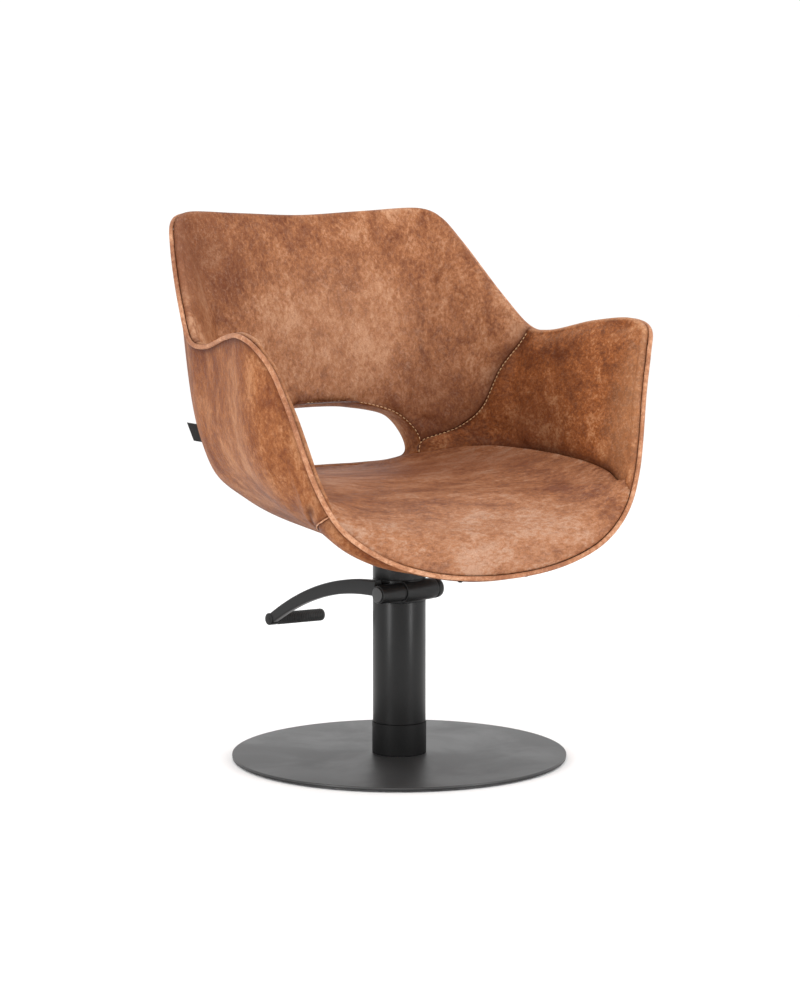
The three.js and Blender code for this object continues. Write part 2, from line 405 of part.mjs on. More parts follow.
  // piping round the whole rim
  const rimCurve = new THREE.CatmullRomCurve3(mirrorLoop(RIM).map((p) => new THREE.Vector3(...p)), true, 'centripetal');
  const path = new THREE.CatmullRomCurve3(Array.from({ length: 72 }, (_, i) => { const p = rimCurve.getPointAt(i / 72), r = Math.hypot(p.x, p.y), k = (r - 1) / r; return new THREE.Vector3(p.x * k, p.y * k, p.z); }), true);
  const round = new THREE.Shape(Array.from({ length: 6 }, (_, i) => new THREE.Vector2(PIPING_R * Math.cos(i * Math.PI / 3), PIPING_R * Math.sin(i * Math.PI / 3))));
  add('rim_piping', clean(new THREE.ExtrudeGeometry(round, { steps: 90, extrudePath: path, bevelEnabled: false })), 'piping');
}

base();
lift();
lever();
const bores = swivel();
tub(bores);
export default group;
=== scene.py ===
import json
import math
import bpy, bmesh
import numpy as np
from mathutils import Matrix, Vector


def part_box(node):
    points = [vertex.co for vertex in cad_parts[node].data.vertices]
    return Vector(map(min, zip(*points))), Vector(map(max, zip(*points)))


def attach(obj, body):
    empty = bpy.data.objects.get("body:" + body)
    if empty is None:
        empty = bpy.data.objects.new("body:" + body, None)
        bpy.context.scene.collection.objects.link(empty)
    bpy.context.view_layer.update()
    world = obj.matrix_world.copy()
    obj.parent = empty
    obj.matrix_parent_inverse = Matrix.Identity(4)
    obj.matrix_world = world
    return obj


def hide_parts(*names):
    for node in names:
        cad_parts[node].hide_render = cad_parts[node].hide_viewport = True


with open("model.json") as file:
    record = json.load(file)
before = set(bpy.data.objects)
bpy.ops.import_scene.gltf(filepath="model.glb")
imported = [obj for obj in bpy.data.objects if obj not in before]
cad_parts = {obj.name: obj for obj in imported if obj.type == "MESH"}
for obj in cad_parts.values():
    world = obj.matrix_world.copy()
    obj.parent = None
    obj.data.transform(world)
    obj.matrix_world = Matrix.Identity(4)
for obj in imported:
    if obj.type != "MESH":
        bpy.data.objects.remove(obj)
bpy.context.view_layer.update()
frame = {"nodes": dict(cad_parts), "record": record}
NODES = frame["nodes"]
scene = bpy.context.scene
MM = 0.001
WELD = 1e-6            # metres within which points are joined
rad = np.radians


# ---------------------------------------------------------------- camera
def make_camera():
    data = bpy.data.cameras.new("camera")
    data.lens, data.sensor_width, data.clip_end = 110.1, 36.0, 60.0
    cam = bpy.data.objects.new("camera", data)
    scene.collection.objects.link(cam)
    turn, dip = math.radians(-30.015), math.radians(7.12)
    f = Vector((-math.sin(turn) * math.cos(dip), math.cos(turn) * math.cos(dip), -math.sin(dip)))
    cam.location = (-2.475, -4.2868, 1.0441)
    cam.rotation_euler = f.to_track_quat("-Z", "Y").to_euler()
    scene.camera = cam


make_camera()
scene.view_settings.view_transform = "Standard"
scene.view_settings.look = "None"


# ---------------------------------------------------------------- tub curves, millimetres
FLAT_R, FLAT_Z, SEAT_Z, RIM_T = 70.0, 352.0, 462.0, 17.0
# rim of the tub, right half, front middle to back middle
RIM = [(0, -315, 340), (120, -310, 352), (200, -300, 381), (258, -279, 425), (290, -261, 484),
       (326, -227, 615), (345, -210, 672), (362, -188, 704), (364, -145, 716), (346, -65, 709),
       (327, 50, 686), (322, 110, 690), (306, 175, 740), (276, 268, 834), (256, 308, 874), (230, 327, 884),
       (120, 345, 880), (0, 352, 874.5)]
CREASE = [(0, 238, 457), (90, 234, 460), (165, 214, 474), (225, 168, 488), (262, 90, 496), (275, 0, 498),
          (284, -90, 494), (289, -150, 487), (286, -205, 474), (272, -240, 449), (248, -262, 417),
          (190, -284, 374), (100, -297, 346), (0, -301, 338)]
# seam between back and arm: direction in degrees, and how far up the wall
SEAM = [(53, 0.05), (38, 0.135), (30.5, 0.31), (26, 0.6), (17.3, 1.0)]
SEAM_STEPS = 14
# lower front edge of the side cover: direction and how far up the outside
FRONT_SEAM = [(-34, 0.0), (-35.5, 0.3), (-39, 0.5), (-42, 0.75), (-44.7, 1.0)]
OPEN_TOP = [(168, 490), (163, 503), (152, 522), (133, 540), (105, 552), (60, 562), (0, 565)]
OPEN_LOW = [(0, 458), (80, 459), (140, 463), (160, 472), (167, 483)]
DIP = math.radians(17.3)


def mirror(half):
    return list(half) + [(-p[0],) + tuple(p[1:]) for p in half[1:-1]][::-1]


def catmull(points, n, closed=True):
    P = np.asarray(points, float)
    N = len(P)
    at = lambda i: P[i % N] if closed else (P[i] if 0 <= i < N
                                            else (2 * P[0] - P[1] if i < 0 else 2 * P[-1] - P[-2]))
    out = []
    for k in range(n if closed else n + 1):
        u = (N if closed else N - 1) * k / n
        i = min(int(u), N - 1 if closed else N - 2)
        w = u - i
        p = [at(i + j) for j in (-1, 0, 1, 2)]
        d = [max(np.linalg.norm(p[j + 1] - p[j]) ** 0.5, 1e-4) for j in range(3)]
        a = ((p[1] - p[0]) / d[0] - (p[2] - p[0]) / (d[0] + d[1]) + (p[2] - p[1]) / d[1]) * d[1]
        b = ((p[2] - p[1]) / d[1] - (p[3] - p[1]) / (d[1] + d[2]) + (p[3] - p[2]) / d[2]) * d[1]
        out.append(p[1] + a * w + (-3 * p[1] + 3 * p[2] - 2 * a - b) * w * w + (2 * p[1] - 2 * p[2] + a + b)
                   * w ** 3)
    return np.array(out)


def run(P):
    """Length along a line at each of its points."""
    return np.r_[0, np.cumsum(np.linalg.norm(np.diff(P, axis=0), axis=1))]


def resample(P, n):
    P = np.asarray(P, float)
    s = run(P)
    t = np.linspace(0, s[-1], n) if np.isscalar(n) else np.asarray(n) * s[-1]
    return np.stack([np.interp(t, s, P[:, k]) for k in range(P.shape[1])], -1)


class Polar:
    def __init__(self, half):
        loop = catmull(mirror(half), 2400)
        th = np.arctan2(loop[:, 1], loop[:, 0])
        o = np.argsort(th)
        th, r, z = th[o], np.hypot(loop[:, 0], loop[:, 1])[o], loop[:, 2][o]
        self.th = np.r_[th - 2 * np.pi, th, th + 2 * np.pi]
        self.r, self.z = np.tile(r, 3), np.tile(z, 3)

    def __call__(self, th):
        a = (np.asarray(th, float) + np.pi) % (2 * np.pi) - np.pi
        return np.interp(a, self.th, self.r), np.interp(a, self.th, self.z)


rim, crease = Polar(RIM), Polar(CREASE)


def mix3(th, f, s, b):
    sn = np.sin(th)
    wf, wb = np.clip(-sn, 0, 1) ** 2, np.clip(sn, 0, 1) ** 2
    return wf * f + (1 - wf - wb) * s + wb * b


def cubic(P, t):
    u = 1 - t
    w, e = (u ** 3, 3 * u * u * t, 3 * u * t * t, t ** 3), (-3 * u * u, 3 * u * u - 6 * u * t,
            6 * u * t - 3 * t * t, 3 * t * t)
    return [sum(w[k] * P[k][c] for k in range(4)) for c in (0, 1)], [sum(e[k] * P[k][c] for k in range(4))
            for c in (0, 1)]


def outer_rz(th, t, d=0.0):
    R, Z = rim(th)
    P = [(FLAT_R + 0 * R, FLAT_Z + 0 * R), (FLAT_R + mix3(th, 0.9, 1.06, 1.01) * (R - FLAT_R),
                                            FLAT_Z + mix3(th, -42, 108, 5)),
         (R - mix3(th, 12, 8, 86), Z - np.maximum(6, mix3(th, 0.69, 0.47, 0.69) * (Z - FLAT_Z))), (R, Z)]
    (r, z), (dr, dz) = cubic(P, t)
    l = np.hypot(dr, dz)
    return r - d * dz / l, z + d * dr / l


def wall_rz(th, t):
    R, Z = rim(th)
    rc, zc = crease(th)
    wb = np.clip(np.sin(th), 0, 1) ** 2
    H, re = Z - zc, R - RIM_T
    P = [(rc, zc), (rc + 12 + 14 * wb, zc + 0.3 * H), (re - 0.12 * H - 10 * wb, Z - 0.4 * H), (re, Z - 6)]
    return cubic(P, t)[0]


def xyz(th, r, z):
    return np.stack([r * np.cos(th), r * np.sin(th), z], -1)


def inverse(fn, points, y_min=30.0):
    """(direction, station) where surface fn passes over each (x, z)."""
    th, t = np.meshgrid(rad(np.linspace(4, 176, 345)), np.linspace(0, 1, 241), indexing="ij")
    X = xyz(th, *fn(th, t))
    out = []
    for x, z in points:
        c = (X[..., 0] - x) ** 2 + (X[..., 2] - z) ** 2 + 1e6 * (X[..., 1] < y_min)
        i, j = np.unravel_index(np.argmin(c), c.shape)
        a, b = np.meshgrid(th[i, j] + rad(np.linspace(-0.6, 0.6, 13)),
                           np.clip(t[i, j] + np.linspace(-0.005, 0.005, 11), 0, 1), indexing="ij")
        Y = xyz(a, *fn(a, b))
        k = np.unravel_index(np.argmin((Y[..., 0] - x) ** 2 + (Y[..., 2] - z) ** 2), a.shape)
        out.append((a[k], b[k]))
    return np.array(out)


# ---------------------------------------------------------------- mesh helpers
SEAM_SHADE_FADE = 9.0        # how fast the painted shade beside a seam fades, millimetres


def new_object(name, verts, faces, smooth=True):
    me = bpy.data.meshes.new(name)
    me.from_pydata([tuple(float(c) * MM for c in v) for v in verts], [], faces)
    me.validate()
    if smooth:
        me.polygons.foreach_set("use_smooth", [True] * len(me.polygons))
    me.update()
    o = bpy.data.objects.new(name, me)
    scene.collection.objects.link(o)
    return o


def outward(o, weld=True):
    """Turns the faces outward; weld joins points that lie together."""
    bm = bmesh.new()
    bm.from_mesh(o.data)
    if weld:
        bmesh.ops.remove_doubles(bm, verts=bm.verts, dist=WELD)
    bmesh.ops.recalc_face_normals(bm, faces=bm.faces)
    bm.to_mesh(o.data)
    bm.free()
    return o


def paint_seam_shade(o, front, back):
    """Stores painted shade: how near each front point is to a sewn edge or crease; the back points all count
    as sewn.
    """
    a = o.data.attributes.new("seam", "FLOAT", "POINT")
    a.data.foreach_set("value", np.r_[np.ravel(front), np.ones(back)].astype(np.float32))


def sharpen(o, angle=35):
    bm = bmesh.new()
    bm.from_mesh(o.data)
    lim = math.radians(angle)
    for e in bm.edges:
        if len(e.link_faces) == 2 and e.calc_face_angle(0) > lim:
            e.smooth = False
    bm.to_mesh(o.data)
    bm.free()
    return o


def put(o, body, nodes=(), material=None):
    if material:
        o.data.materials.clear()
        o.data.materials.append(material)
    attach(o, body)
    if nodes:
        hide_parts(*nodes)
    return o


def grid_faces(n, m, base=0, wrap_i=False):
    f = []
    for i in range(n if wrap_i else n - 1):
        for j in range(m - 1):
            a, b = i, (i + 1) % n
            f.append((base + a * m + j, base + b * m + j, base + b * m + j + 1, base + a * m + j + 1))
    return f


def border(n, m):
    """Grid places (i, j) once round the edge of an n by m grid."""
    ring = [(i, 0) for i in range(n)] + [(n - 1, j) for j in range(1, m)]
    return ring + [(i, m - 1) for i in range(n - 2, -1, -1)] + [(0, j) for j in range(m - 2, 0, -1)]


def normals(G):
    di = np.gradient(G, axis=0)
    dj = np.gradient(G, axis=1)
    N = np.cross(di, dj)
    return N / np.maximum(np.linalg.norm(N, axis=-1, keepdims=True), 1e-9)


def travel(G, axis, back=False):
    d = np.linalg.norm(np.diff(G, axis=axis), axis=-1)
    z = np.zeros_like(np.take(d, [0], axis=axis))
    s = np.concatenate([z, np.cumsum(d, axis=axis)], axis=axis)
    return np.take(s, [-1], axis=axis) - s if back else s


def spaced(length, step=10.0, close=(1.5, 4.0, 8.0)):
    """0..1 with extra stations close to both ends of a run of this length."""
    c = [x / length for x in close]
    mid = np.linspace(c[-1] * 1.7, 1 - c[-1] * 1.7, max(4, int(length / step)))
    return np.r_[0, c, mid, [1 - x for x in c[::-1]], 1]


def slab(name, G, B, edges, rim_gap=None, painted_shade_line=None):
    """Closed padded form: front grid G with its borders rounded back, and back grid B.

    edges: side -> (depth, width). The seam attribute holds painted shade: 1 at sewn borders, at the rim
    (rim_gap millimetres from the grid's last column) and along the given painted shade line."""
    N = normals(G)
    if np.mean(np.sum(N * (G - B), -1)) < 0:
        N = -N
    off, near = np.zeros(G.shape[:2]), np.full(G.shape[:2], 1e3)
    for side, (depth, width) in edges.items():
        d = travel(G, 0 if side[0] == "i" else 1, side[1] == "1")
        q = 1 - np.clip(d / np.maximum(width, 1e-3), 0, 1)
        off = np.maximum(off, depth * (1 - np.sqrt(np.maximum(0, 1 - q ** 2))))
        near = np.minimum(near, d + 30 * (1 - np.clip(depth / np.max(depth), 0, 1)))
    if rim_gap is not None:
        near = np.minimum(near, np.maximum(0, travel(G, 1, True) - rim_gap) * 2.2)
    F = G - N * off[..., None]
    n, m = G.shape[:2]
    # painted shade: darker beside seams, rolled borders and the rim, most where a border rolls in deepest
    dark = np.exp(-near / SEAM_SHADE_FADE)
    if painted_shade_line is not None:
        dark = np.maximum(dark, painted_shade_line)
    verts = np.concatenate([F.reshape(-1, 3), B.reshape(-1, 3)])
    faces = grid_faces(n, m) + [f[::-1] for f in grid_faces(n, m, n * m)]
    loop = [i * m + j for i, j in border(n, m)]
    for a, b in zip(loop, loop[1:] + loop[:1]):
        faces.append((b, a, a + n * m, b + n * m))
    o = new_object(name, verts, faces)
    paint_seam_shade(o, dark, n * m)
    outward(o, weld=False)
    o["grid"] = [n, m]
    return o, F, N


def subdivide(o, levels=1):
    m = o.modifiers.new("fine", "SUBSURF")
    m.levels = m.render_levels = levels
    return o


def lathe(profile, segs=96, wrap=False):
    """Points and faces of a profile [(r, z)] turned about Z; it starts and ends on the axis unless wrap."""
    verts, faces, rows = [], [], []
    for r, z in profile:
        if r < 1e-6:
            rows.append([len(verts)])
            verts.append((0, 0, z))
        else:
            rows.append(list(range(len(verts), len(verts) + segs)))
            verts += [(r * math.cos(2 * math.pi * k / segs), r * math.sin(2 * math.pi * k / segs), z)
                      for k in range(segs)]
    pairs = list(zip(rows, rows[1:])) + ([(rows[-1], rows[0])] if wrap else [])
    for a, b in pairs:
        for k in range(segs):
            l = (k + 1) % segs
            if len(a) == 1 and len(b) == 1:
                continue
            if len(a) == 1:
                faces.append((a[0], b[k], b[l]))
            elif len(b) == 1:
                faces.append((a[k], b[0], a[l]))
            else:
                faces.append((a[k], b[k], b[l], a[l]))
    return verts, faces


def rounded(profile, radius=0.8, steps=3, closed=False):
    """Corners of a profile given a small radius."""
    P = [np.array(p, float) for p in profile]
    out = []
    n = len(P)
    for i, p in enumerate(P):
        if not closed and i in (0, n - 1):
            out.append(tuple(p))
            continue
        a, b = P[i - 1], P[(i + 1) % n]
        la, lb = np.linalg.norm(a - p), np.linalg.norm(b - p)
        k = min(radius, la * 0.45, lb * 0.45)
        if k < 1e-3:
            out.append(tuple(p))
            continue
        s, e = p + (a - p) / la * k, p + (b - p) / lb * k
        for j in range(steps + 1):
            w = j / steps
            out.append(tuple((1 - w) ** 2 * s + 2 * w * (1 - w) * p + w * w * e))
    return out


def tube_faces(n, sides, closed=False):
    """Faces of a tube of n rings; one that isn't closed has end caps."""
    faces = []
    for i in range(n if closed else n - 1):
        for j in range(sides):
            k, l = (i + 1) % n, (j + 1) % sides
            faces.append((i * sides + j, i * sides + l, k * sides + l, k * sides + j))
    if not closed:
        faces.append(tuple(range(sides))[::-1])
        faces.append(tuple((n - 1) * sides + j for j in range(sides)))
    return faces


def join(parts):
    """One list of points and one of faces from several."""
    V, F = [], []
    for v, f in parts:
        F += [tuple(len(V) + k for k in q) for q in f]
        V += [tuple(p) for p in v]
    return V, F


def tube_mesh(path, radius, sides=10, closed=False, up=(0, 0, 1)):
    P = np.asarray(path, float)
    T = np.roll(P, -1, 0) - np.roll(P, 1, 0) if closed else np.gradient(P, axis=0)
    T /= np.linalg.norm(T, axis=1, keepdims=True)
    U = np.tile(np.asarray(up, float), (len(P), 1))
    A = np.cross(T, U)
    bad = np.linalg.norm(A, axis=1) < 0.05
    A[bad] = np.cross(T[bad], (1, 0, 0))
    for k in range(1, len(A)):
        if np.dot(A[k], A[k - 1]) < 0:
            A[k] = -A[k]
    A /= np.linalg.norm(A, axis=1, keepdims=True)
    Bn = np.cross(T, A)
    r = np.broadcast_to(radius, (len(P),))
    ang = np.arange(sides) * 2 * np.pi / sides
    V = P[:, None] + r[:, None, None] * (np.cos(ang)[None, :, None] * A[:, None] + np.sin(ang)[None, :,
            None] * Bn[:, None])
    return V.reshape(-1, 3), tube_faces(len(P), sides, closed)


def stitches(name, lines, pitch=7.4, length=4.6, radius=0.9, lift=0.45):
    """Rows of thread, one small rounded length at a time. lines: [(points, normals)]"""
    parts = []
    for P, N in lines:
        P, N = np.asarray(P, float), np.asarray(N, float)
        s = run(P)
        n = int(s[-1] / pitch)
        for k in range(n):
            c = (k + 0.5) * s[-1] / n
            ts = c + np.array([-0.5, -0.34, 0, 0.34, 0.5]) * length
            q = np.stack([np.interp(ts, s, P[:, a]) for a in range(3)], -1)
            nn = np.array([np.interp(c, s, N[:, a]) for a in range(3)])
            nn /= np.linalg.norm(nn)
            q = q + nn * (np.array([-0.6, 0.0, 0.25, 0.0, -0.6])[:, None] * radius + lift)
            parts.append(tube_mesh(q, radius * np.array([0.45, 0.9, 1, 0.9, 0.45]), 6, False, nn))
    return new_object(name, *join(parts))


# ---------------------------------------------------------------- materials
class Nodes:
    """Small helper that adds shader nodes and links them."""
    def __init__(self, name):
        self.mat = bpy.data.materials.new(name)
        self.mat.use_nodes = True
        self.nt = self.mat.node_tree
        self.bsdf = next(n for n in self.nt.nodes if n.type == "BSDF_PRINCIPLED")
        self.co = self.add("ShaderNodeTexCoord").outputs["Object"]

    def add(self, kind, **props):
        n = self.nt.nodes.new(kind)
        for k, v in props.items():
            setattr(n, k, v)
        return n

    def link(self, a, b):
        self.nt.links.new(a, b)

    def feed(self, sock, v):
        if hasattr(v, "is_linked") or hasattr(v, "links"):
            self.link(v, sock)
        else:
            sock.default_value = tuple(v) + (1,) if isinstance(v,
                    tuple) and len(v) == 3 and sock.type == "RGBA" else v

    def math(self, op, a, b=0.0, clamp=False):
        n = self.add("ShaderNodeMath", operation=op, use_clamp=clamp)
        self.feed(n.inputs[0], a)
        self.feed(n.inputs[1], b)
        return n.outputs[0]

    def place(self, scale=(1, 1, 1), move=(0, 0, 0), turn=(0, 0, 0)):
        n = self.add("ShaderNodeMapping")
        self.link(self.co, n.inputs["Vector"])
        n.inputs["Scale"].default_value, n.inputs["Location"].default_value, n.inputs[
                "Rotation"].default_value = scale, move, turn
        return n.outputs[0]

    def noise(self, scale, detail=4.0, rough=0.55, distort=0.0, co=None, kind="FBM"):
        n = self.add("ShaderNodeTexNoise", noise_type=kind)
        self.link(co if co is not None else self.co, n.inputs["Vector"])
        n.inputs["Scale"].default_value, n.inputs["Detail"].default_value = scale, detail
        n.inputs["Roughness"].default_value, n.inputs["Distortion"].default_value = rough, distort
        return n.outputs["Fac"]

    def cells(self, scale, feature="F1", co=None, rand=1.0):
        n = self.add("ShaderNodeTexVoronoi", feature=feature)
        self.link(co if co is not None else self.co, n.inputs["Vector"])
        n.inputs["Scale"].default_value, n.inputs["Randomness"].default_value = scale, rand
        return n.outputs["Distance"]

    def ramp(self, fac, stops, smooth=True):
        n = self.add("ShaderNodeValToRGB")
        r = n.color_ramp
        r.interpolation = "EASE" if smooth else "LINEAR"
        while len(r.elements) < len(stops):
            r.elements.new(0.5)
        for e, (p, c) in zip(r.elements, stops):
            e.position = p
            e.color = tuple(c) + (1,) if len(c) == 3 else c
        self.link(fac, n.inputs["Fac"])
        return n.outputs["Color"]

    def grey(self, fac, lo, hi, a=0.0, b=1.0):
        n = self.add("ShaderNodeMapRange", clamp=True, interpolation_type="SMOOTHSTEP")
        self.feed(n.inputs["Value"], fac)
        for k, v in zip(("From Min", "From Max", "To Min", "To Max"), (lo, hi, a, b)):
            n.inputs[k].default_value = v
        return n.outputs["Result"]

    def mix(self, fac, a, b, kind="MIX"):
        n = self.add("ShaderNodeMix", data_type="RGBA", blend_type=kind)
        self.feed(n.inputs["Factor"], fac)
        sa = [s for s in n.inputs if s.name == "A" and s.type == "RGBA"][0]
        sb = [s for s in n.inputs if s.name == "B" and s.type == "RGBA"][0]
        self.feed(sa, a if not isinstance(a, tuple) or len(a) == 4 else a + (1,))
        self.feed(sb, b if not isinstance(b, tuple) or len(b) == 4 else b + (1,))
        return [s for s in n.outputs if s.type == "RGBA"][0]

    def attribute(self, name):
        return self.add("ShaderNodeAttribute", attribute_name=name).outputs["Fac"]

    def bump(self, height, strength, distance, under=None):
        n = self.add("ShaderNodeBump")
        n.inputs["Strength"].default_value, n.inputs["Distance"].default_value = strength, distance
        self.link(height, n.inputs["Height"])
        if under is not None:
            self.link(under, n.inputs["Normal"])
        return n.outputs["Normal"]

    def done(self, color=None, rough=None, normal=None, **fixed):
        b = self.bsdf.inputs
        if color is not None:
            self.feed(b["Base Color"], color)
        if rough is not None:
            self.feed(b["Roughness"], rough)
        if normal is not None:
            self.link(normal, b["Normal"])
        for k, v in fixed.items():
            b[k.replace("_", " ")].default_value = v
        return self.mat


def srgb(r, g, b):
    return tuple((c / 255 / 12.92 if c / 255 <= 0.04045 else ((c / 255 + 0.055) / 1.055) ** 2.4)
                 for c in (r, g, b))


def leather(name, dark, mid, light, seed=0.0, wear_and_sheen=0.5, grain=1.0, flow=(1, 1, 1), turn=(0, 0, 0), edge=0.8,
            top=0.0, spots=(), gloss=0.2):
    """Waxed, worn leather: cloudy tone, flecks drawn out along the hide, pale streaks that are partly worn
    leather and partly painted sheen, grain and creases.

    top: painted light: how much paler it is made where it faces up.
    spots: (centre, radii in metres, amount), amount below 0 being darker; used for painted light and shade.
    edge: how dark the painted shade beside seams and in creases is."""
    m = Nodes(name)
    deep = tuple(c * e for c, e in zip(dark, (0.8, 0.66, 0.5)))
    # whitish pale colour: partly worn waxed leather, partly painted sheen
    pale = tuple(0.75 * c * 1.2 + 0.25 * w for c, w in zip(light, (0.72, 0.6, 0.5)))
    co = m.place(move=(seed, seed * 0.7, -seed))
    drift = m.place(scale=flow, move=(seed + 3, 1, 2), turn=turn)
    cloud = m.noise(5.0, 4, 0.55, 0.5, co)
    patch = m.noise(19, 6, 0.6, 0.5, drift)
    fleck = m.noise(140, 6, 0.66, 0.5, drift)
    tone = m.math("ADD", m.math("MULTIPLY", cloud, 0.3),
                  m.math("ADD", m.math("MULTIPLY", patch, 0.34), m.math("MULTIPLY", fleck, 0.36)))
    base = m.ramp(tone, [(0.40, dark), (0.465, tuple(0.5 * (a + b) for a, b in zip(dark, mid))),
                         (0.515, mid), (0.59, light)], False)
    blot = m.grey(m.noise(75, 8, 0.74, 0.6, m.place(scale=flow, move=(seed * 2, 5, 7), turn=turn)), 0.5,
                  0.72)
    base = m.mix(m.math("MULTIPLY", blot, 0.5), base, deep)
    # how much pale shows: real wear plus painted light from the spots and the upward faces
    wear_and_painted_light = wear_and_sheen
    # spots paint light and shade: darker spots are painted shade, paler ones painted light that also widens
    # the pale sheen
    for at, size, amount in spots:
        g = m.add("ShaderNodeTexGradient", gradient_type="SPHERICAL")
        inv = tuple(1 / c for c in size)
        m.link(m.place(scale=inv, move=tuple(-c * k for c, k in zip(at, inv))), g.inputs["Vector"])
        f = m.grey(g.outputs["Fac"], 0.0, 0.9)
        if amount < 0:
            base = m.mix(m.math("MULTIPLY", f, -amount), base, dark)
        else:
            base = m.mix(m.math("MULTIPLY", f, 0.5 * amount), base, light)
            wear_and_painted_light = m.math("ADD", wear_and_painted_light, m.math("MULTIPLY", f, 0.5 * amount))
    # painted light: paler where the surface faces up, as if lit from above; this also widens the pale sheen
    if top:
        up = m.add("ShaderNodeSeparateXYZ")
        m.link(m.add("ShaderNodeNewGeometry").outputs["Normal"], up.inputs[0])
        painted_top_light = m.grey(up.outputs["Z"], 0.3, 0.9)
        base = m.mix(m.math("MULTIPLY", painted_top_light, top), base, light)
        wear_and_painted_light = m.math("ADD", wear_and_painted_light, m.math("MULTIPLY", painted_top_light, top))
    # pale rub pattern: partly rubbed wear, partly painted sheen
    rub_and_painted_sheen = m.grey(m.noise(120, 8, 0.76, 1.2, drift), 0.46, 0.7)
    base = m.mix(m.math("MULTIPLY", rub_and_painted_sheen, wear_and_painted_light, True), base, pale)
    speck = m.grey(m.noise(520, 3, 0.65, 0, co), 0.32, 0.68)
    base = m.mix(1.0, base, m.ramp(speck, [(0.0, (0.8, 0.77, 0.74)), (1.0, (1, 1, 1))], False), "MULTIPLY")
    # painted shade: darker beside seams, under the rim piping and in creases
    near = m.attribute("seam")
    base = m.mix(m.math("MULTIPLY", near, edge), base, tuple(c * e for c, e in zip(dark, (0.5, 0.4, 0.3))))
    pores = m.cells(640 * grain, "SMOOTH_F1", co)
    pebble = m.cells(330 * grain, "F1", m.place(scale=flow, move=(seed, 2, 1), turn=turn))
    lines = m.math("ABSOLUTE", m.math("SUBTRACT", m.noise(58, 6, 0.62, 1.0, drift), 0.5))
    lines = m.grey(lines, 0.0, 0.035)
    height = m.math("ADD", m.math("ADD", m.math("MULTIPLY", pores, 0.35), m.math("MULTIPLY", pebble, 0.5)),
                    m.math("MULTIPLY", lines, 0.5))
    soft_n = m.bump(m.noise(20, 6, 0.6, 0.8, drift), 0.7, 0.004)
    normal = m.bump(height, 0.55, 0.0007, soft_n)
    rough = m.math("ADD", m.math("MULTIPLY", m.grey(fleck, 0.3, 0.7), 0.16),
                   m.math("ADD", m.math("MULTIPLY", rub_and_painted_sheen, -0.1), 0.5))
    return m.done(base, rough, normal, Specular_IOR_Level=gloss)


def powder(name, shade=0.018, rough=0.42, speck=1.0, level=0.5):
    m = Nodes(name)
    peel = m.noise(380, 3, 0.6)
    grit = m.cells(1500, "F1")
    smear = m.noise(6, 5, 0.6, 0.5)
    col = m.ramp(m.math("ADD", m.math("MULTIPLY", smear, 0.7), m.math("MULTIPLY", peel, 0.3)),
                 [(0.3, (shade * 0.8,) * 3), (0.7, (shade * 1.3, shade * 1.28, shade * 1.3))])
    h = m.math("ADD", m.math("MULTIPLY", peel, 0.6), m.math("MULTIPLY", grit, 0.5))
    r = m.math("ADD", m.math("MULTIPLY", m.grey(smear, 0.35, 0.65), 0.1), rough)
    return m.done(col, r, m.bump(h, 0.14 * speck, 0.0003), Specular_IOR_Level=level)


def metal(name, color, rough=0.28, brushed=None):
    m = Nodes(name)
    co = m.place(scale=brushed or (1, 1, 18))
    lines = m.noise(90, 6, 0.7, 0, co)
    stain = m.noise(30, 4)
    col = m.mix(m.math("MULTIPLY", stain, 0.35), color, tuple(c * 0.62 for c in color))
    r = m.math("ADD", m.math("MULTIPLY", lines, 0.22), rough - 0.1)
    return m.done(col, r, m.bump(lines, 0.18, 0.0003), Metallic=1.0)


def plywood(name):
    m = Nodes(name)
    co = m.place(scale=(1, 9, 9))
    grain_l = m.noise(14, 7, 0.6, 1.5, co)
    ply = m.add("ShaderNodeTexWave", wave_type="BANDS", bands_direction="Z")
    m.link(m.co, ply.inputs["Vector"])
    ply.inputs["Scale"].default_value, ply.inputs["Distortion"].default_value = 180, 0.6
    # dark stain, partly painted shade: kept dark so the shell reads as shadow where it shows through gaps
    col = m.ramp(grain_l, [(0.3, srgb(74, 48, 28)), (0.5, srgb(98, 66, 40)), (0.72, srgb(124, 88, 56))])
    col = m.mix(m.math("MULTIPLY", ply.outputs["Fac"], 0.25), col, srgb(60, 40, 24))
    return m.done(col, 0.62, m.bump(grain_l, 0.25, 0.0006))


def rubber(name, shade=0.02, dots=700.0):
    m = Nodes(name)
    n = m.noise(160, 5, 0.6)
    g = m.cells(dots, "F1")
    col = m.ramp(n, [(0.3, (shade * 0.75,) * 3), (0.7, (shade * 1.5,) * 3)])
    return m.done(col, m.math("ADD", m.math("MULTIPLY", n, 0.15), 0.6), m.bump(g, 0.3, 0.0004))


def woven(name, a, b, pitch=1400.0, sheen=0.15):
    m = Nodes(name)
    w = []
    for d in ("X", "Z"):
        t = m.add("ShaderNodeTexWave", wave_type="BANDS", bands_direction=d)
        m.link(m.co, t.inputs["Vector"])
        t.inputs["Scale"].default_value = pitch / 6.2832 * 1.6
        t.inputs["Distortion"].default_value = 0.4
        w.append(t.outputs["Fac"])
    h = m.math("MAXIMUM", w[0], w[1])
    col = m.mix(m.math("MULTIPLY", h, 0.8), a, b)
    col = m.mix(m.math("MULTIPLY", m.noise(240, 3), 0.3), col, tuple(c * 0.7 for c in a))
    return m.done(col, 0.85, m.bump(h, 0.6, 0.0005), Sheen_Weight=sheen)


DARK, MID, LIGHT = srgb(104, 54, 26), srgb(149, 95, 59), srgb(178, 131, 99)
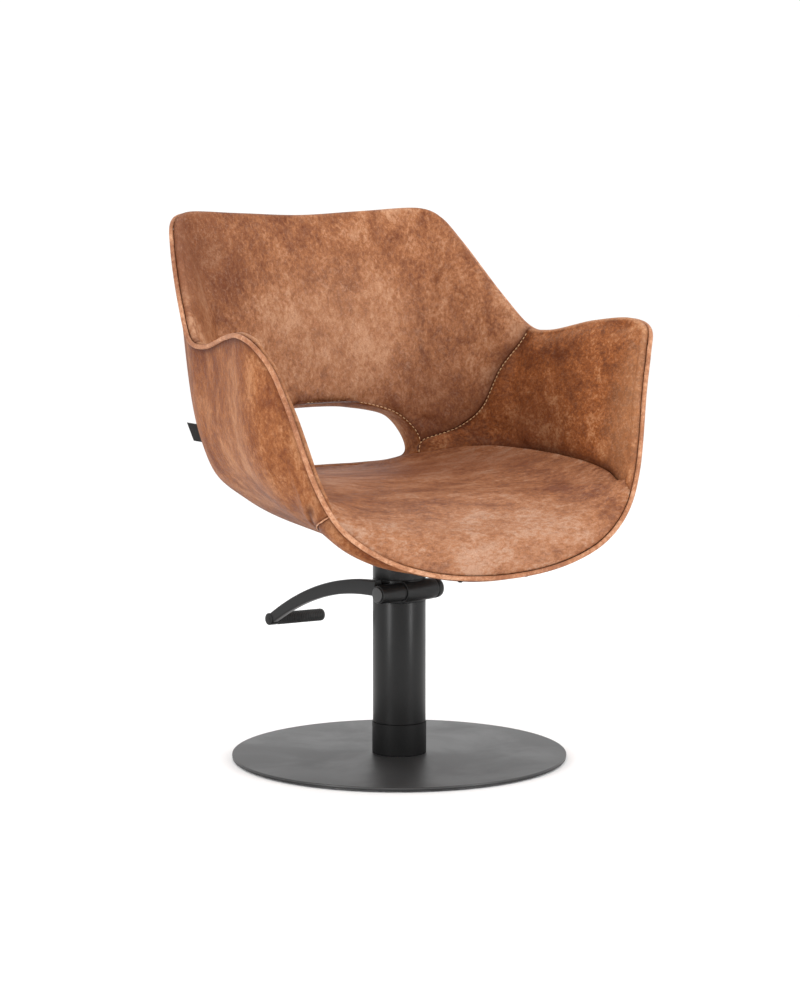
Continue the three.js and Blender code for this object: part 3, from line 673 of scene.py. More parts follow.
# The arm colours are darker partly as a darker hide and partly as painted shade for the inner arms; the outer
# colours are darker as painted shade for the covers turned from the light.
ARM_DARK, ARM_MID, ARM_LIGHT = srgb(92, 43, 12), srgb(144, 82, 39), srgb(184, 132, 92)
OUT_DARK, OUT_MID, OUT_LIGHT = srgb(98, 47, 20), srgb(136, 82, 46), srgb(164, 113, 77)
SEAT_LIGHT = srgb(168, 128, 103)
# painted shade in a dark patch low on each arm toward the crease, painted light in a pale patch at each arm's
# front edge, and top paints light on faces turned up
M_LEATHER = leather("leather_inside", ARM_DARK, ARM_MID, ARM_LIGHT, 0.0, flow=(1, 1.2, 1.5),
                    turn=(0.3, 0.2, 0.5), wear_and_sheen=0.15, top=0.5,
                    spots=[((x * at[0], at[1], at[2]), size, amount) for x in (-1, 1) for at, size,
                           amount in
                           (((0.26, 0.02, 0.53), (0.14, 0.16, 0.13), -0.5),
                            ((0.33, -0.22, 0.54), (0.12, 0.1, 0.3), 0.8))])
# painted highlight in a pale patch across the middle of the back, painted shade high on the -x side and low
# on the +x side
M_BACK = leather("leather_back", DARK, MID, LIGHT, 1.0, flow=(1.2, 1, 0.85), turn=(0, 0.3, 0), wear_and_sheen=0.2,
                 spots=[((0.05, 0.3, 0.68), (0.24, 0.3, 0.17), 0.5),
                        ((-0.25, 0.3, 0.83), (0.17, 0.3, 0.2), -0.7),
                        ((0.2, 0.26, 0.56), (0.16, 0.2, 0.1), -0.4)])
# painted light over the seat's front roll and painted shade on the +x side of the seat top
M_SEAT = leather("leather_seat", DARK, MID, SEAT_LIGHT, 2.0, flow=(0.7, 1.35, 1.35), turn=(0, 0, 0.25),
                 wear_and_sheen=0.15,
                 spots=[((0, -0.29, 0.39), (0.36, 0.16, 0.13), 0.3),
                        ((0.14, 0.08, 0.47), (0.25, 0.2, 0.1), -0.55)])
M_OUTER = leather("leather_outer", OUT_DARK, OUT_MID, OUT_LIGHT, 4.0, flow=(1.25, 1.25, 0.8),
                  turn=(0.35, 0.2, 0), wear_and_sheen=0.12, gloss=0.12)
M_LINING = leather("leather_lining", DARK, MID, LIGHT, 7.0, wear_and_sheen=0.1, edge=0.35, gloss=0.02)
M_PIPING = leather("leather_piping", srgb(132, 80, 52), srgb(166, 113, 80), srgb(196, 148, 116), 9.0,
                   wear_and_sheen=0.3, grain=1.3, edge=0.0)
M_BLACK = powder("black_powder_coat", 0.009, 0.3, level=0.2)
M_PLATE = powder("black_base_plate", 0.02, 0.36, 0.8)
M_DULL = powder("black_dull_steel", 0.006, 0.5, 1.3, level=0.1)
M_STEEL = metal("machined_steel", srgb(176, 178, 180), 0.3)
M_BRASS = metal("bronze_bush", srgb(188, 150, 90), 0.34)
M_PLY_STAIN_AND_SHADE = plywood("plywood_stain_and_shade")
M_RUBBER = rubber("black_rubber")
M_GRIP = rubber("grip_rubber", 0.011, 900.0)
M_PLASTIC = powder("black_plastic", 0.02, 0.34, 0.5)
M_TAG = woven("woven_tag", srgb(14, 14, 14), srgb(34, 34, 34))
M_THREAD = woven("sewing_thread", srgb(204, 156, 112), srgb(236, 196, 150), 4200.0, 0.0)

SLOT_LOOK = {"leather": M_LEATHER, "piping": M_PIPING, "plywood": M_PLY_STAIN_AND_SHADE, "rubber": M_RUBBER,
             "plastic": M_PLASTIC, "webbing": M_TAG,
             "brass": M_BRASS, "black_metal": M_BLACK, "steel": M_STEEL}
for part in frame["record"]["subparts"]:
    o = NODES[part["node"]]
    o.data.materials.clear()
    o.data.materials.append(M_BLACK if part["node"] in ("pedal_rod", "lever_shaft")
                            else SLOT_LOOK[part["material_slot"]])


def slim_shell(inset=0.003):
    """The plywood shell with its faces drawn in, so that it stays inside the leather all round."""
    bm = bmesh.new()
    bm.from_mesh(NODES["seat_shell"].data)
    bmesh.ops.remove_doubles(bm, verts=bm.verts, dist=WELD)
    bmesh.ops.recalc_face_normals(bm, faces=bm.faces)
    bm.normal_update()
    for v, n in [(v, v.normal.copy()) for v in bm.verts]:
        v.co -= n * inset
    me = bpy.data.meshes.new("seat_shell_plywood")
    bm.to_mesh(me)
    bm.free()
    o = bpy.data.objects.new("seat_shell_plywood", me)
    scene.collection.objects.link(o)
    return sharpen(o, 30)


put(slim_shell(), "seat", ["seat_shell"], M_PLY_STAIN_AND_SHADE)


# ---------------------------------------------------------------- tub surfaces in space
def rim_frame(th):
    """Rim point and unit vectors along it, out of the tub's outside, and up over the edge."""
    th = np.asarray(th, float)
    e = rad(0.12)
    P = xyz(th, *rim(th))
    T = xyz(th + e, *rim(th + e)) - xyz(th - e, *rim(th - e))
    T /= np.linalg.norm(T, axis=-1, keepdims=True)
    D = xyz(th, *outer_rz(th, 1.0 + 0 * th)) - xyz(th, *outer_rz(th, 0.97 + 0 * th))
    U = D - np.sum(D * T, -1, keepdims=True) * T
    U /= np.linalg.norm(U, axis=-1, keepdims=True)
    N = np.cross(T, U)
    R = xyz(th, 1.0 + 0 * th, 0 * th)
    N *= np.where(np.sum(N * R, -1, keepdims=True) < 0, -1, 1)
    return P, T, N, U


def wall(th, t):
    R, Z = rim(th)
    P, _, N, U = rim_frame(th)
    top = P - 17 * N - 4 * U
    old = xyz(th, R - RIM_T, Z - 6)
    return xyz(th, *wall_rz(th, t)) + (t ** 4)[..., None] * (top - old)


ROLL = np.radians([22, 45, 68, 90, 110, 132, 156])


def roll(th):
    """Leather turning over the rim to the piping: grid (len(th), len(ROLL), 3)."""
    P, _, N, U = rim_frame(th)
    n, u = -9.5 - 7.5 * np.cos(ROLL), -4 + 7.6 * np.sin(ROLL)
    return P[:, None] + n[None, :, None] * N[:, None] + u[None, :, None] * U[:, None]


def roll_core(th):
    P, _, N, U = rim_frame(th)
    c = P - 9.5 * N - 5.5 * U
    return c[:, None] + 0.25 * (roll(th) - c[:, None])


def by_length(pts2d, fn, n):
    """Stations along a (direction, station) polyline, even in space or at the given fractions."""
    c = catmull(pts2d, 400, closed=False)
    X = fn(c[:, 0], c[:, 1])
    s = run(X)
    t = np.linspace(0, 1, n) if np.isscalar(n) else np.asarray(n)
    return np.stack([np.interp(t * s[-1], s, c[:, k]) for k in (0, 1)], -1), s[-1]


def rim_stations(a, b, fr):
    th = np.linspace(a, b, 1200)
    X = xyz(th, *rim(th))
    s = run(X)
    return np.interp(np.asarray(fr) * s[-1], s, th), s[-1]


SEAM_TT = catmull(SEAM, SEAM_STEPS, closed=False)
SEAM_TT[:, 0] = rad(SEAM_TT[:, 0])
TOP_TT = inverse(wall_rz, OPEN_TOP)
TOP_TT[0] = SEAM_TT[0]
TOP_TT[-1, 0] = np.pi / 2


def flip(P):
    Q = np.array(P, float)
    Q[..., 0] *= -1
    return Q


LIP0, LIP1 = math.sin(rad(39.0)), math.sin(rad(45.0))


def lip_of(th):
    q = np.clip((-np.sin(th) - LIP0) / (LIP1 - LIP0), 0, 1)
    return q * q * (3 - 2 * q)


def wall_and_roll(th, n=26):
    """Polyline up the wall and over the rim at each direction: (len(th), n + len(ROLL), 3)."""
    th = np.atleast_1d(th)
    t = np.linspace(0, 1, n)
    W = wall(np.repeat(th[:, None], n, 1), np.repeat(t[None], len(th), 0))
    return np.concatenate([W, roll(th)], 1)


def along(C, s):
    """Points at fractions s (n, k) of the length of polylines C (n, p, 3)."""
    out = []
    for c, q in zip(C, s):
        d = run(c)
        out.append(np.stack([np.interp(q * d[-1], d, c[:, a]) for a in range(3)], -1))
    return np.array(out)


EDGE_TH = rad(np.linspace(-90, 90, 721))
EDGE_XYZ = along(wall_and_roll(EDGE_TH), lip_of(EDGE_TH)[:, None])[:, 0]
EDGE_R, EDGE_Z = np.hypot(EDGE_XYZ[:, 0], EDGE_XYZ[:, 1]), EDGE_XYZ[:, 2]
EDGE_A = np.arctan2(EDGE_XYZ[:, 1], EDGE_XYZ[:, 0])


def seat_edge(th):
    """Radius and height of the seat's edge: the crease, then the piping at the front corners."""
    a = np.arctan2(np.sin(th), np.abs(np.cos(th)))
    return np.interp(a, EDGE_A, EDGE_R), np.interp(a, EDGE_A, EDGE_Z)


def crease_depth(th):
    """How deeply the seat and the wall are pulled into the crease, from 0 to 1."""
    a = np.degrees(np.arctan2(np.sin(th), np.abs(np.cos(th))))
    return np.interp(a, [-42, -38.5, -34, 0, 14, 24, 45, 90], [0.0, 0.45, 1.0, 1.0, 0.8, 0.35, 0.1, 0.3])


# ---------------------------------------------------------------- pads
def ease(x, width):
    q = np.clip(x / width, 0, 1)
    return q * q * (3 - 2 * q)


def back_pad():
    v = spaced(240, 9.5)
    side, _ = by_length(SEAM_TT, wall, v)
    full = np.vstack([TOP_TT, np.stack([np.pi - TOP_TT[::-1, 0], TOP_TT[::-1, 1]], -1)[1:]])
    u = spaced(700, 11)
    bot, _ = by_length(full, wall, u)
    th_top, _ = rim_stations(DIP, np.pi - DIP, u)
    top = np.stack([th_top, np.ones_like(th_top)], -1)
    L, Rr = side, np.stack([np.pi - side[:, 0], side[:, 1]], -1)
    U, V = u[:, None, None], v[None, :, None]
    C = (1 - V) * bot[:, None] + V * top[:, None] + (1 - U) * L[None] + U * Rr[None]
    C -= (1 - U) * (1 - V) * L[0] + U * (1 - V) * Rr[0] + (1 - U) * V * L[-1] + U * V * Rr[-1]
    G = wall(C[..., 0], np.clip(C[..., 1], 0, 1))
    N = normals(G)
    if np.mean(N[..., 1]) > 0:
        N = -N
    thick = 6 + 10 * (1 - v) ** 1.2
    B = G - N * thick[None, :, None]
    G = np.concatenate([G, roll(th_top)], 1)
    B = np.concatenate([B, roll_core(th_top)], 1)
    return slab("back_pad_leather", G, B, {"i0": (3.0, 9), "i1": (3.0, 9), "j0": (4.0, 8)}, 1.0)


def arm_pad():
    a = rad(-44.8)
    edge = np.vstack([[(SEAM_TT[0, 0] + rad(0.6), 0.0)], SEAM_TT])
    v = spaced(235, 9.5)
    side, _ = by_length(edge, wall, v)
    _, length = rim_stations(a, DIP, [0, 1])
    th_top, _ = rim_stations(a, DIP, spaced(length, 9.0))
    f = (th_top - a) / (DIP - a)
    TH = a + f[:, None] * (side[None, :, 0] - a)
    TT = (1 - f[:, None]) * v[None] + f[:, None] * side[None, :, 1]
    G = np.concatenate([wall(TH, TT), roll(th_top)], 1)
    s = travel(G, 1) / travel(G, 1)[:, -1:]
    lip = lip_of(TH[:, 0])[:, None]
    G = along(G, lip + (1 - lip) * s)
    N = normals(G)
    if np.mean(N[:, :len(v), 0]) > 0:
        N = -N
    k = len(v)
    B = G[:, :k] - N[:, :k] * ((5 + 9 * (1 - v) ** 1.2)[None, :, None] * (1 - 0.8 * lip[..., None]))
    B = np.concatenate([B, roll_core(th_top)], 1)
    under = (1 - ease(lip - 0.85, 0.15)) * np.minimum(1, 0.3 + crease_depth(TH[:, 0])[:, None])
    out = xyz(TH[:, 0], 1 + 0 * TH[:, 0], 0 * TH[:, 0])
    foot = G[:, 0] - out * 0.5 * under - np.array([0, 0, 1.0]) * 16 * under
    G = np.concatenate([foot[:, None], (foot * 0.5 + G[:, 0] * 0.5)[:, None], G], 1)
    B = np.concatenate([(foot + out * 4)[:, None], (foot * 0.5 + B[:, 0] * 0.5 + out * 2)[:, None], B], 1)
    # painted shade: darker where the arm's foot dives into the crease, by how deep the crease is
    painted_crease_shade = crease_depth(TH[:, 0])[:, None] * np.exp(-np.maximum(0, travel(G, 1) - 15) / 6)
    return G, B, TH[:, 0], painted_crease_shade


def square_ring(K):
    """K*8 directions round the seat, corners at the tub's own corners, and their square coordinates."""
    fr = np.linspace(0, 1, 2 * K + 1)
    corners = [rad(-46.6), rad(36.7), rad(143.3), rad(226.6), rad(313.4)]
    th, sq = [], []
    walk = [((1, -1), (1, 1)), ((1, 1), (-1, 1)), ((-1, 1), (-1, -1)), ((-1, -1), (1, -1))]
    for k in range(4):
        t = np.linspace(corners[k], corners[k + 1], 800)
        X = xyz(t, *crease(t))
        s = run(X)
        th.append(np.interp(fr[:-1] * s[-1], s, t))
        a, b = np.array(walk[k][0], float), np.array(walk[k][1], float)
        sq.append(a + (b - a) * fr[:-1, None])
    return np.concatenate(th), np.concatenate(sq)


def seat_point(th, t):
    """Top of the seat: dished to the walls, and falling over the front to the piping."""
    lip = lip_of(th)
    re, ze = seat_edge(th)
    front = np.clip((-np.sin(th) - 0.45) / 0.55, 0, 1)
    q = np.clip((t - 0.5) / 0.5, 0, 1)
    low = SEAT_Z - np.maximum(0, SEAT_Z - ze) * (1 - np.sqrt(np.maximum(0, 1 - q * q)))
    high = SEAT_Z + (np.maximum(ze, SEAT_Z) - SEAT_Z) * t * t
    z = np.where(ze < SEAT_Z, low, high) + 6 * (1 - t * t) * (1 - 0.5 * front)
    return xyz(th, re * t, z), lip


def seat_cushion():
    """Square grid over the seat, cornered like the tub, with a flange turned down into the crease."""
    K = 15
    th, sq = square_ring(K)
    M = K + 2
    lev = np.linspace(0, 1, K + 1)
    t_of = np.where(lev <= 0.42, lev / 0.42 * 0.5,
                    0.5 + 0.5 * np.sin(np.clip((lev - 0.42) / 0.58, 0, 1) * np.pi / 2))
    turn = np.arctan2(sq[:, 1], sq[:, 0])
    o = np.argsort(turn)
    ang = np.r_[turn[o] - 2 * np.pi, turn[o], turn[o] + 2 * np.pi]
    th_s = np.unwrap(th[o])
    th_s = np.r_[th_s - 2 * np.pi, th_s, th_s + 2 * np.pi]
    n = 2 * M + 1
    ij = np.array([(i - M, j - M) for i in range(n) for j in range(n)], float)
    rho = np.max(np.abs(ij), axis=1)
    dirn = np.interp(np.arctan2(ij[:, 1], ij[:, 0]), ang, th_s)
    t = np.interp(np.minimum(rho, K) / K, lev, t_of)
    X, lip = seat_point(dirn, t)
    depth = crease_depth(dirn)
    q = np.clip((np.minimum(rho, K) / K - (1 - 2.6 / K)) / (2.6 / K), 0, 1)
    X[:, 2] -= (1 - lip) * 9 * depth * (1 - np.sqrt(np.maximum(0, 1 - q ** 2)))
    out = xyz(dirn, 1 + 0 * dirn, 0 * dirn)
    late = ease(lip - 0.85, 0.15)
    P, _, Nr, Ur = rim_frame(dirn)
    for ring, down, side in ((K + 1, 8.0, 3.0), (K + 2, 20.0, 1.0)):
        sel = (rho == ring)[:, None]
        edge = X + out * (side + 7.0 * (1 - depth))[:,
                None] - np.array([0, 0, 1.0]) * down * (0.35 + 0.65 * depth)[:, None]
        tuck = P - (4.0 + down * 0.15) * Nr - (1.5 + down * 0.25) * Ur
        X = np.where(sel, (1 - late[:, None]) * edge + late[:, None] * tuck, X)
    faces = grid_faces(n, n)
    low = X.copy()
    shrink = 1 - np.interp(rho / K, [0, 0.6, 0.85, 1.2], [0, 0.02, 0.05, 0.06])
    low[:, :2] *= shrink[:, None]
    low[:, 2] = X[:, 2] - np.interp(rho / K, [0, 0.6, 0.9, 1.0, 1.2], [60, 45, 14, 5, 3])
    N = len(X)
    allf = faces + [tuple(N + k for k in f[::-1]) for f in faces]
    ring = border(n, n)
    ids = [i * n + j for i, j in ring]
    for p, r in zip(ids, ids[1:] + ids[:1]):
        allf.append((r, p, p + N, r + N))
    o = new_object("seat_cushion_leather", np.vstack([X, low]), allf)
    near = np.maximum(0, 1 - rho / K) * 280
    # painted shade where the seat's edge turns down into the crease
    paint_seam_shade(o, np.exp(-near / SEAM_SHADE_FADE) * (1 - lip) * depth, N)
    outward(o, weld=False)
    free = np.r_[ease(1 - rho / K, 0.22 - 0.06 * (1 - lip)), np.zeros(N)]
    return o, free


soft = []


def hold(o, free):
    """Pins the points that aren't free at all."""
    g = o.vertex_groups.new(name="held")
    for i, w in enumerate(free):
        if w <= 0:
            g.add([i], 1.0, "REPLACE")


def cloth(o, pressure, cap, free, grow=0.01, bend=2.0):
    """Pad o swells by at most cap millimetres; free, 0 to 1 at each vertex, is 0 where it is sewn."""
    before = np.empty(len(o.data.vertices) * 3)
    o.data.vertices.foreach_get("co", before)
    m = o.modifiers.new("cloth", "CLOTH")
    s = m.settings
    s.quality, s.mass, s.air_damping = 5, 0.3, 3.0
    s.tension_stiffness = s.compression_stiffness = 22.0
    s.shear_stiffness, s.bending_stiffness = 8.0, bend
    s.vertex_group_mass = "held"
    s.use_pressure, s.uniform_pressure_force = True, pressure
    s.shrink_min = -grow
    s.effector_weights.gravity = 0.0
    m.collision_settings.use_collision = False
    m.collision_settings.use_self_collision = False
    m.point_cache.frame_start, m.point_cache.frame_end = 1, 20
    soft.append((o, before.reshape(-1, 3), cap * MM, np.asarray(free)[:, None]))


def settle():
    if not soft:
        return
    for f in range(1, 21):
        scene.frame_set(f)
    dg = bpy.context.evaluated_depsgraph_get()
    for o, before, cap, free in soft:
        me = o.evaluated_get(dg).to_mesh()
        after = np.empty(len(me.vertices) * 3)
        me.vertices.foreach_get("co", after)
        move = after.reshape(-1, 3) - before
        size = np.linalg.norm(move, axis=1, keepdims=True)
        print("cloth", o.name, "largest move mm", round(float(size.max()) * 1000, 1))
        move *= np.where(size > 1e-9, cap * np.tanh(size / cap) / np.maximum(size, 1e-9), 1)
        o.data.vertices.foreach_set("co", (before + move * free).ravel())
        o.modifiers.remove(o.modifiers["cloth"])
        o.data.update()
    scene.frame_set(1)


def swell(o, G, cap, widths):
    """Pins a slab's borders and back; the rest swells, eased in over (i0, i1, j0, j1) millimetres."""
    n, m = G.shape[:2]
    pin = np.zeros((n, m))
    pin[0] = pin[-1] = pin[:, 0] = pin[:, -1] = 1
    hold(o, np.r_[1 - pin.ravel(), np.zeros(n * m)])
    free = ease(travel(G, 0), widths[0]) * ease(travel(G, 0, True), widths[1]) * ease(travel(G, 1),
            widths[2]) * ease(travel(G, 1, True), widths[3])
    cloth(o, 4.0, cap, np.r_[free.ravel(), np.zeros(n * m)])


o, BACK_F, BACK_N = back_pad()
swell(o, BACK_F, 6.0, (14, 14, 12, 60))
back_obj = put(o, "seat", ["back_pad"], M_BACK)

G, B, low_th, painted_crease_shade = arm_pad()
fold = crease_depth(low_th)[:, None]
arms = []
for name, node, fn in (("arm_pad_left_leather", "arm_pad_left", lambda q: q),
                       ("arm_pad_right_leather", "arm_pad_right", flip)):
    o, F, Nn = slab(name, fn(G), fn(B), {"i1": (3.0, 9), "j0": (2.0 * fold, 10)}, 1.0, painted_crease_shade)
    swell(o, F, 7.0, (60, 14, 24, 60))
    arms.append((put(o, "seat", [node], M_LEATHER), Nn))

o, free = seat_cushion()
hold(o, free)
cloth(o, 4.0, 8.0, free)
seat_obj = put(o, "seat", ["seat_cushion"], M_SEAT)
settle()
for o in (back_obj, arms[0][0], arms[1][0]):
    subdivide(o, 1)
subdivide(seat_obj, 2)


# ---------------------------------------------------------------- lining of the opening and the sill
def opening_loop(n=150):
    half = catmull([OPEN_TOP[-1]] + OPEN_TOP[-2:0:-1] + [(166.5, 492)] + OPEN_LOW[::-1], 200, closed=False)
    half = half[(half[:, 0] >= -0.01)]
    loop = np.vstack([half, half[::-1][1:-1] * [-1, 1]])
    return resample(np.vstack([loop, loop[:1]]), n + 1)[:-1]


LOOP = opening_loop()


def on_surface(fn, loop):
    """(direction, station) of each point of a symmetric loop; x >= 0 is solved and mirrored."""
    q = inverse(fn, np.stack([np.abs(loop[:, 0]), loop[:, 1]], -1))
    q[:, 0] = np.where(loop[:, 0] < 0, np.pi - q[:, 0], q[:, 0])
    return q


def smooth_loop(A, times=3):
    for _ in range(times):
        A = 0.5 * A + 0.25 * (np.roll(A, 1, 0) + np.roll(A, -1, 0))
    return A


LOOP_IN = on_surface(wall_rz, LOOP)
drop = 2.5 + 8.5 * np.clip((LOOP[:, 1] - 536) / 24, 0,
                           1) + 4.5 * (LOOP[:, 1] < 492) * np.exp(-((np.abs(LOOP[:, 0]) - 163) / 12) ** 2)
LOOP_OUT = on_surface(outer_rz, LOOP - np.stack([-0.009 * LOOP[:, 0], drop], -1))
front_edge = smooth_loop(xyz(LOOP_IN[:, 0], *wall_rz(LOOP_IN[:, 0], LOOP_IN[:, 1])))
back_edge = smooth_loop(xyz(LOOP_OUT[:, 0], *outer_rz(LOOP_OUT[:, 0], LOOP_OUT[:, 1])))


def ring_grid(name, G, B, seam=None):
    """Closed band: i wraps round, j runs across; front G, back B."""
    n, m = G.shape[:2]
    faces = grid_faces(n, m, 0, True) + [f[::-1] for f in grid_faces(n, m, n * m, True)]
    for i in range(n):
        k = (i + 1) % n
        faces.append((k * m, i * m, n * m + i * m, n * m + k * m))
        faces.append((i * m + m - 1, k * m + m - 1, n * m + k * m + m - 1, n * m + i * m + m - 1))
    o = new_object(name, np.vstack([G.reshape(-1, 3), B.reshape(-1, 3)]), faces)
    if seam is not None:
        paint_seam_shade(o, np.broadcast_to(seam, (n, m)), n * m)
    outward(o, weld=False)
    return o


def opening_lining():
    t = np.array([0, 0.03, 0.09, 0.2, 0.35, 0.5, 0.65, 0.8, 0.91, 0.97, 1.0])
    mid = np.array([0.0, 512.0])
    away = np.stack([LOOP[:, 0] - mid[0], 0 * LOOP[:, 0], LOOP[:, 1] - mid[1]], -1)
    away /= np.linalg.norm(away, axis=1, keepdims=True)
    puff = 2.2 * np.sin(np.pi * t) ** 0.6 - 2.0 * (np.exp(-t / 0.03) + np.exp(-(1 - t) / 0.03)) * 0.4
    a, b = front_edge + [0, -1.2, 0], back_edge + [0, 1.0, 0]
    G = a[:, None] * (1 - t)[None, :, None] + b[:, None] * t[None, :, None] - away[:, None] * puff[None, :,
            None]
    B = a[:, None] * (0.97 - 0.94 * t)[None, :, None] + b[:, None] * (0.03 + 0.94 * t)[None, :,
            None] + away[:, None] * 3.0
    # painted shade towards both edges of the lining
    return ring_grid("opening_lining_leather", G, B, np.exp(-np.minimum(t, 1 - t) / 0.08)[None])


put(subdivide(opening_lining()), "seat", ["opening_lining"], M_LINING)


def rear_sill():
    x = np.linspace(-158, 158, 41)
    zt = np.interp(np.abs(x), [p[0] for p in OPEN_LOW], [p[1] for p in OPEN_LOW]) - 3.5
    yi = np.interp(np.abs(x), [0, 90, 158], [236, 232, 215])
    yo = np.interp(np.abs(x), [0, 90, 158], [262, 257, 238])
    ang = np.linspace(0, 2 * np.pi, 20, endpoint=False)
    cx, cz = np.cos(ang), np.sin(ang)
    sx, sz = np.sign(cx) * np.abs(cx) ** 0.7, np.sign(cz) * np.abs(cz) ** 0.7
    ends = 1 - 0.25 * (np.abs(x) / 158) ** 8
    V = np.stack([np.broadcast_to(x[:, None], (41, 20)),
                  (yi + yo)[:, None] / 2 + (yo - yi)[:, None] / 2 * sx * ends[:, None],
                  (zt - 17)[:, None] + 17 * sz * ends[:, None]], -1)
    return outward(new_object("rear_sill_leather", V.reshape(-1, 3), tube_faces(len(x), len(ang))))


put(subdivide(rear_sill()), "seat", ["rear_sill_pad"], M_LINING)


# ---------------------------------------------------------------- outside covers
def outside(th, t, d=0.0):
    """Outside of the tub, fuller behind the arms and under the front corners, drawn up behind the column."""
    a = np.degrees(np.arctan2(np.sin(th), np.abs(np.cos(th))))
    full = 5.5 * np.exp(-((a - 29) / 9) ** 2 - ((t - 0.41) / 0.09) ** 2) + 3.4 * np.exp(-((a + 54) / 8) ** 2
            - ((t - 0.56) / 0.11) ** 2)
    full = full - 2.4 * np.exp(-((a - 43) / 18) ** 2 - ((t - 0.12) / 0.1) ** 2)
    return xyz(th, *outer_rz(th, t, d - full))


BACK_SEAM = rad(30)
FRONT_END = rad(FRONT_SEAM[-1][0])      # where the side covers start on the rim
COVER_T = 3.2        # thickness of the covers, millimetres
STATION = np.r_[0, 0.02, 0.06, np.linspace(0.11, 0.94, 30), 0.97, 0.985, 0.996]


def front_seam(t):
    c = np.array(FRONT_SEAM)
    return rad(np.interp(t, c[:, 1], c[:, 0]))


def tuck_relief(th, t):
    """Soft ridge beside the arm's front edge, and the fold under it where the cover is tucked in; the second
    value paints shade along that fold.
    """
    a = np.degrees(th)
    ridge = np.interp(t, [0.65, 0.7, 0.8, 0.86], [-37, -36, -33, -31])
    on = np.interp(t, [0.58, 0.66, 0.76, 0.88], [0, 1, 0.8, 0])
    hump = 3.0 * on * np.exp(-((a - ridge) / 1.4) ** 2)
    line = np.interp(t, [0.45, 0.6, 0.75], [-37.5, -38.3, -40])
    cut = np.interp(t, [0.36, 0.46, 0.66, 0.72, 0.77], [0, 1, 1, 0.8, 0])
    fold_in = -2.6 * cut * np.exp(-((a - line) / 0.6) ** 2)
    flap = 4.2 * cut * np.exp(-((a - line - 1.5) / 1.15) ** 2) + 1.2 * cut * np.exp(-((a - line + 1.5)
            / 1.0) ** 2)
    return hump + fold_in + flap, cut * np.exp(-((a - line + 0.1) / 0.75) ** 2)


def cover(name, th0, th1, cols, part):
    if part == "front":
        u = np.r_[0, 0.006, 0.016, np.linspace(0.035, 0.965, cols), 0.984, 0.994, 1]
    else:
        fr, _ = rim_stations(FRONT_END, BACK_SEAM,
                             np.r_[0, 0.003, 0.007, np.linspace(0.013, 0.2, 40),
                                   np.linspace(0.215, 0.98, cols), 0.992, 0.997, 1])
        u = (fr - FRONT_END) / (BACK_SEAM - FRONT_END)
    a, b = th0(STATION) if callable(th0) else th0, th1(STATION) if callable(th1) else th1
    TH = (1 - u)[:, None] * a + u[:, None] * b + 0 * STATION[None]
    TT = np.broadcast_to(STATION[None], TH.shape)
    G, B = outside(TH, TT), outside(TH, TT, COVER_T)
    fold = None
    if part != "front":
        D = outside(TH, TT, -1.0) - G
        # fold: painted shade along the tucked fold
        relief, fold = tuck_relief(TH, TT)
        G = G + D * relief[..., None]
    if part == "right":
        G, B = flip(G), flip(B)
    return slab(name, G, B, {"i0": (1.8, 6), "i1": (1.8, 6)}, 6.0, fold)


side, SIDE_F, SIDE_N = cover("outer_left_leather", front_seam, BACK_SEAM, 46, "left")
put(subdivide(side), "seat", ["outer_left"], M_OUTER)
side2, SIDE2_F, SIDE2_N = cover("outer_right_leather", front_seam, BACK_SEAM, 46, "right")
put(subdivide(side2), "seat", ["outer_right"], M_OUTER)
fr, FRONT_F, FRONT_N = cover("outer_front_leather", lambda t: -np.pi - front_seam(t), front_seam, 60,
                             "front")
put(subdivide(fr), "seat", ["outer_front"], M_OUTER)


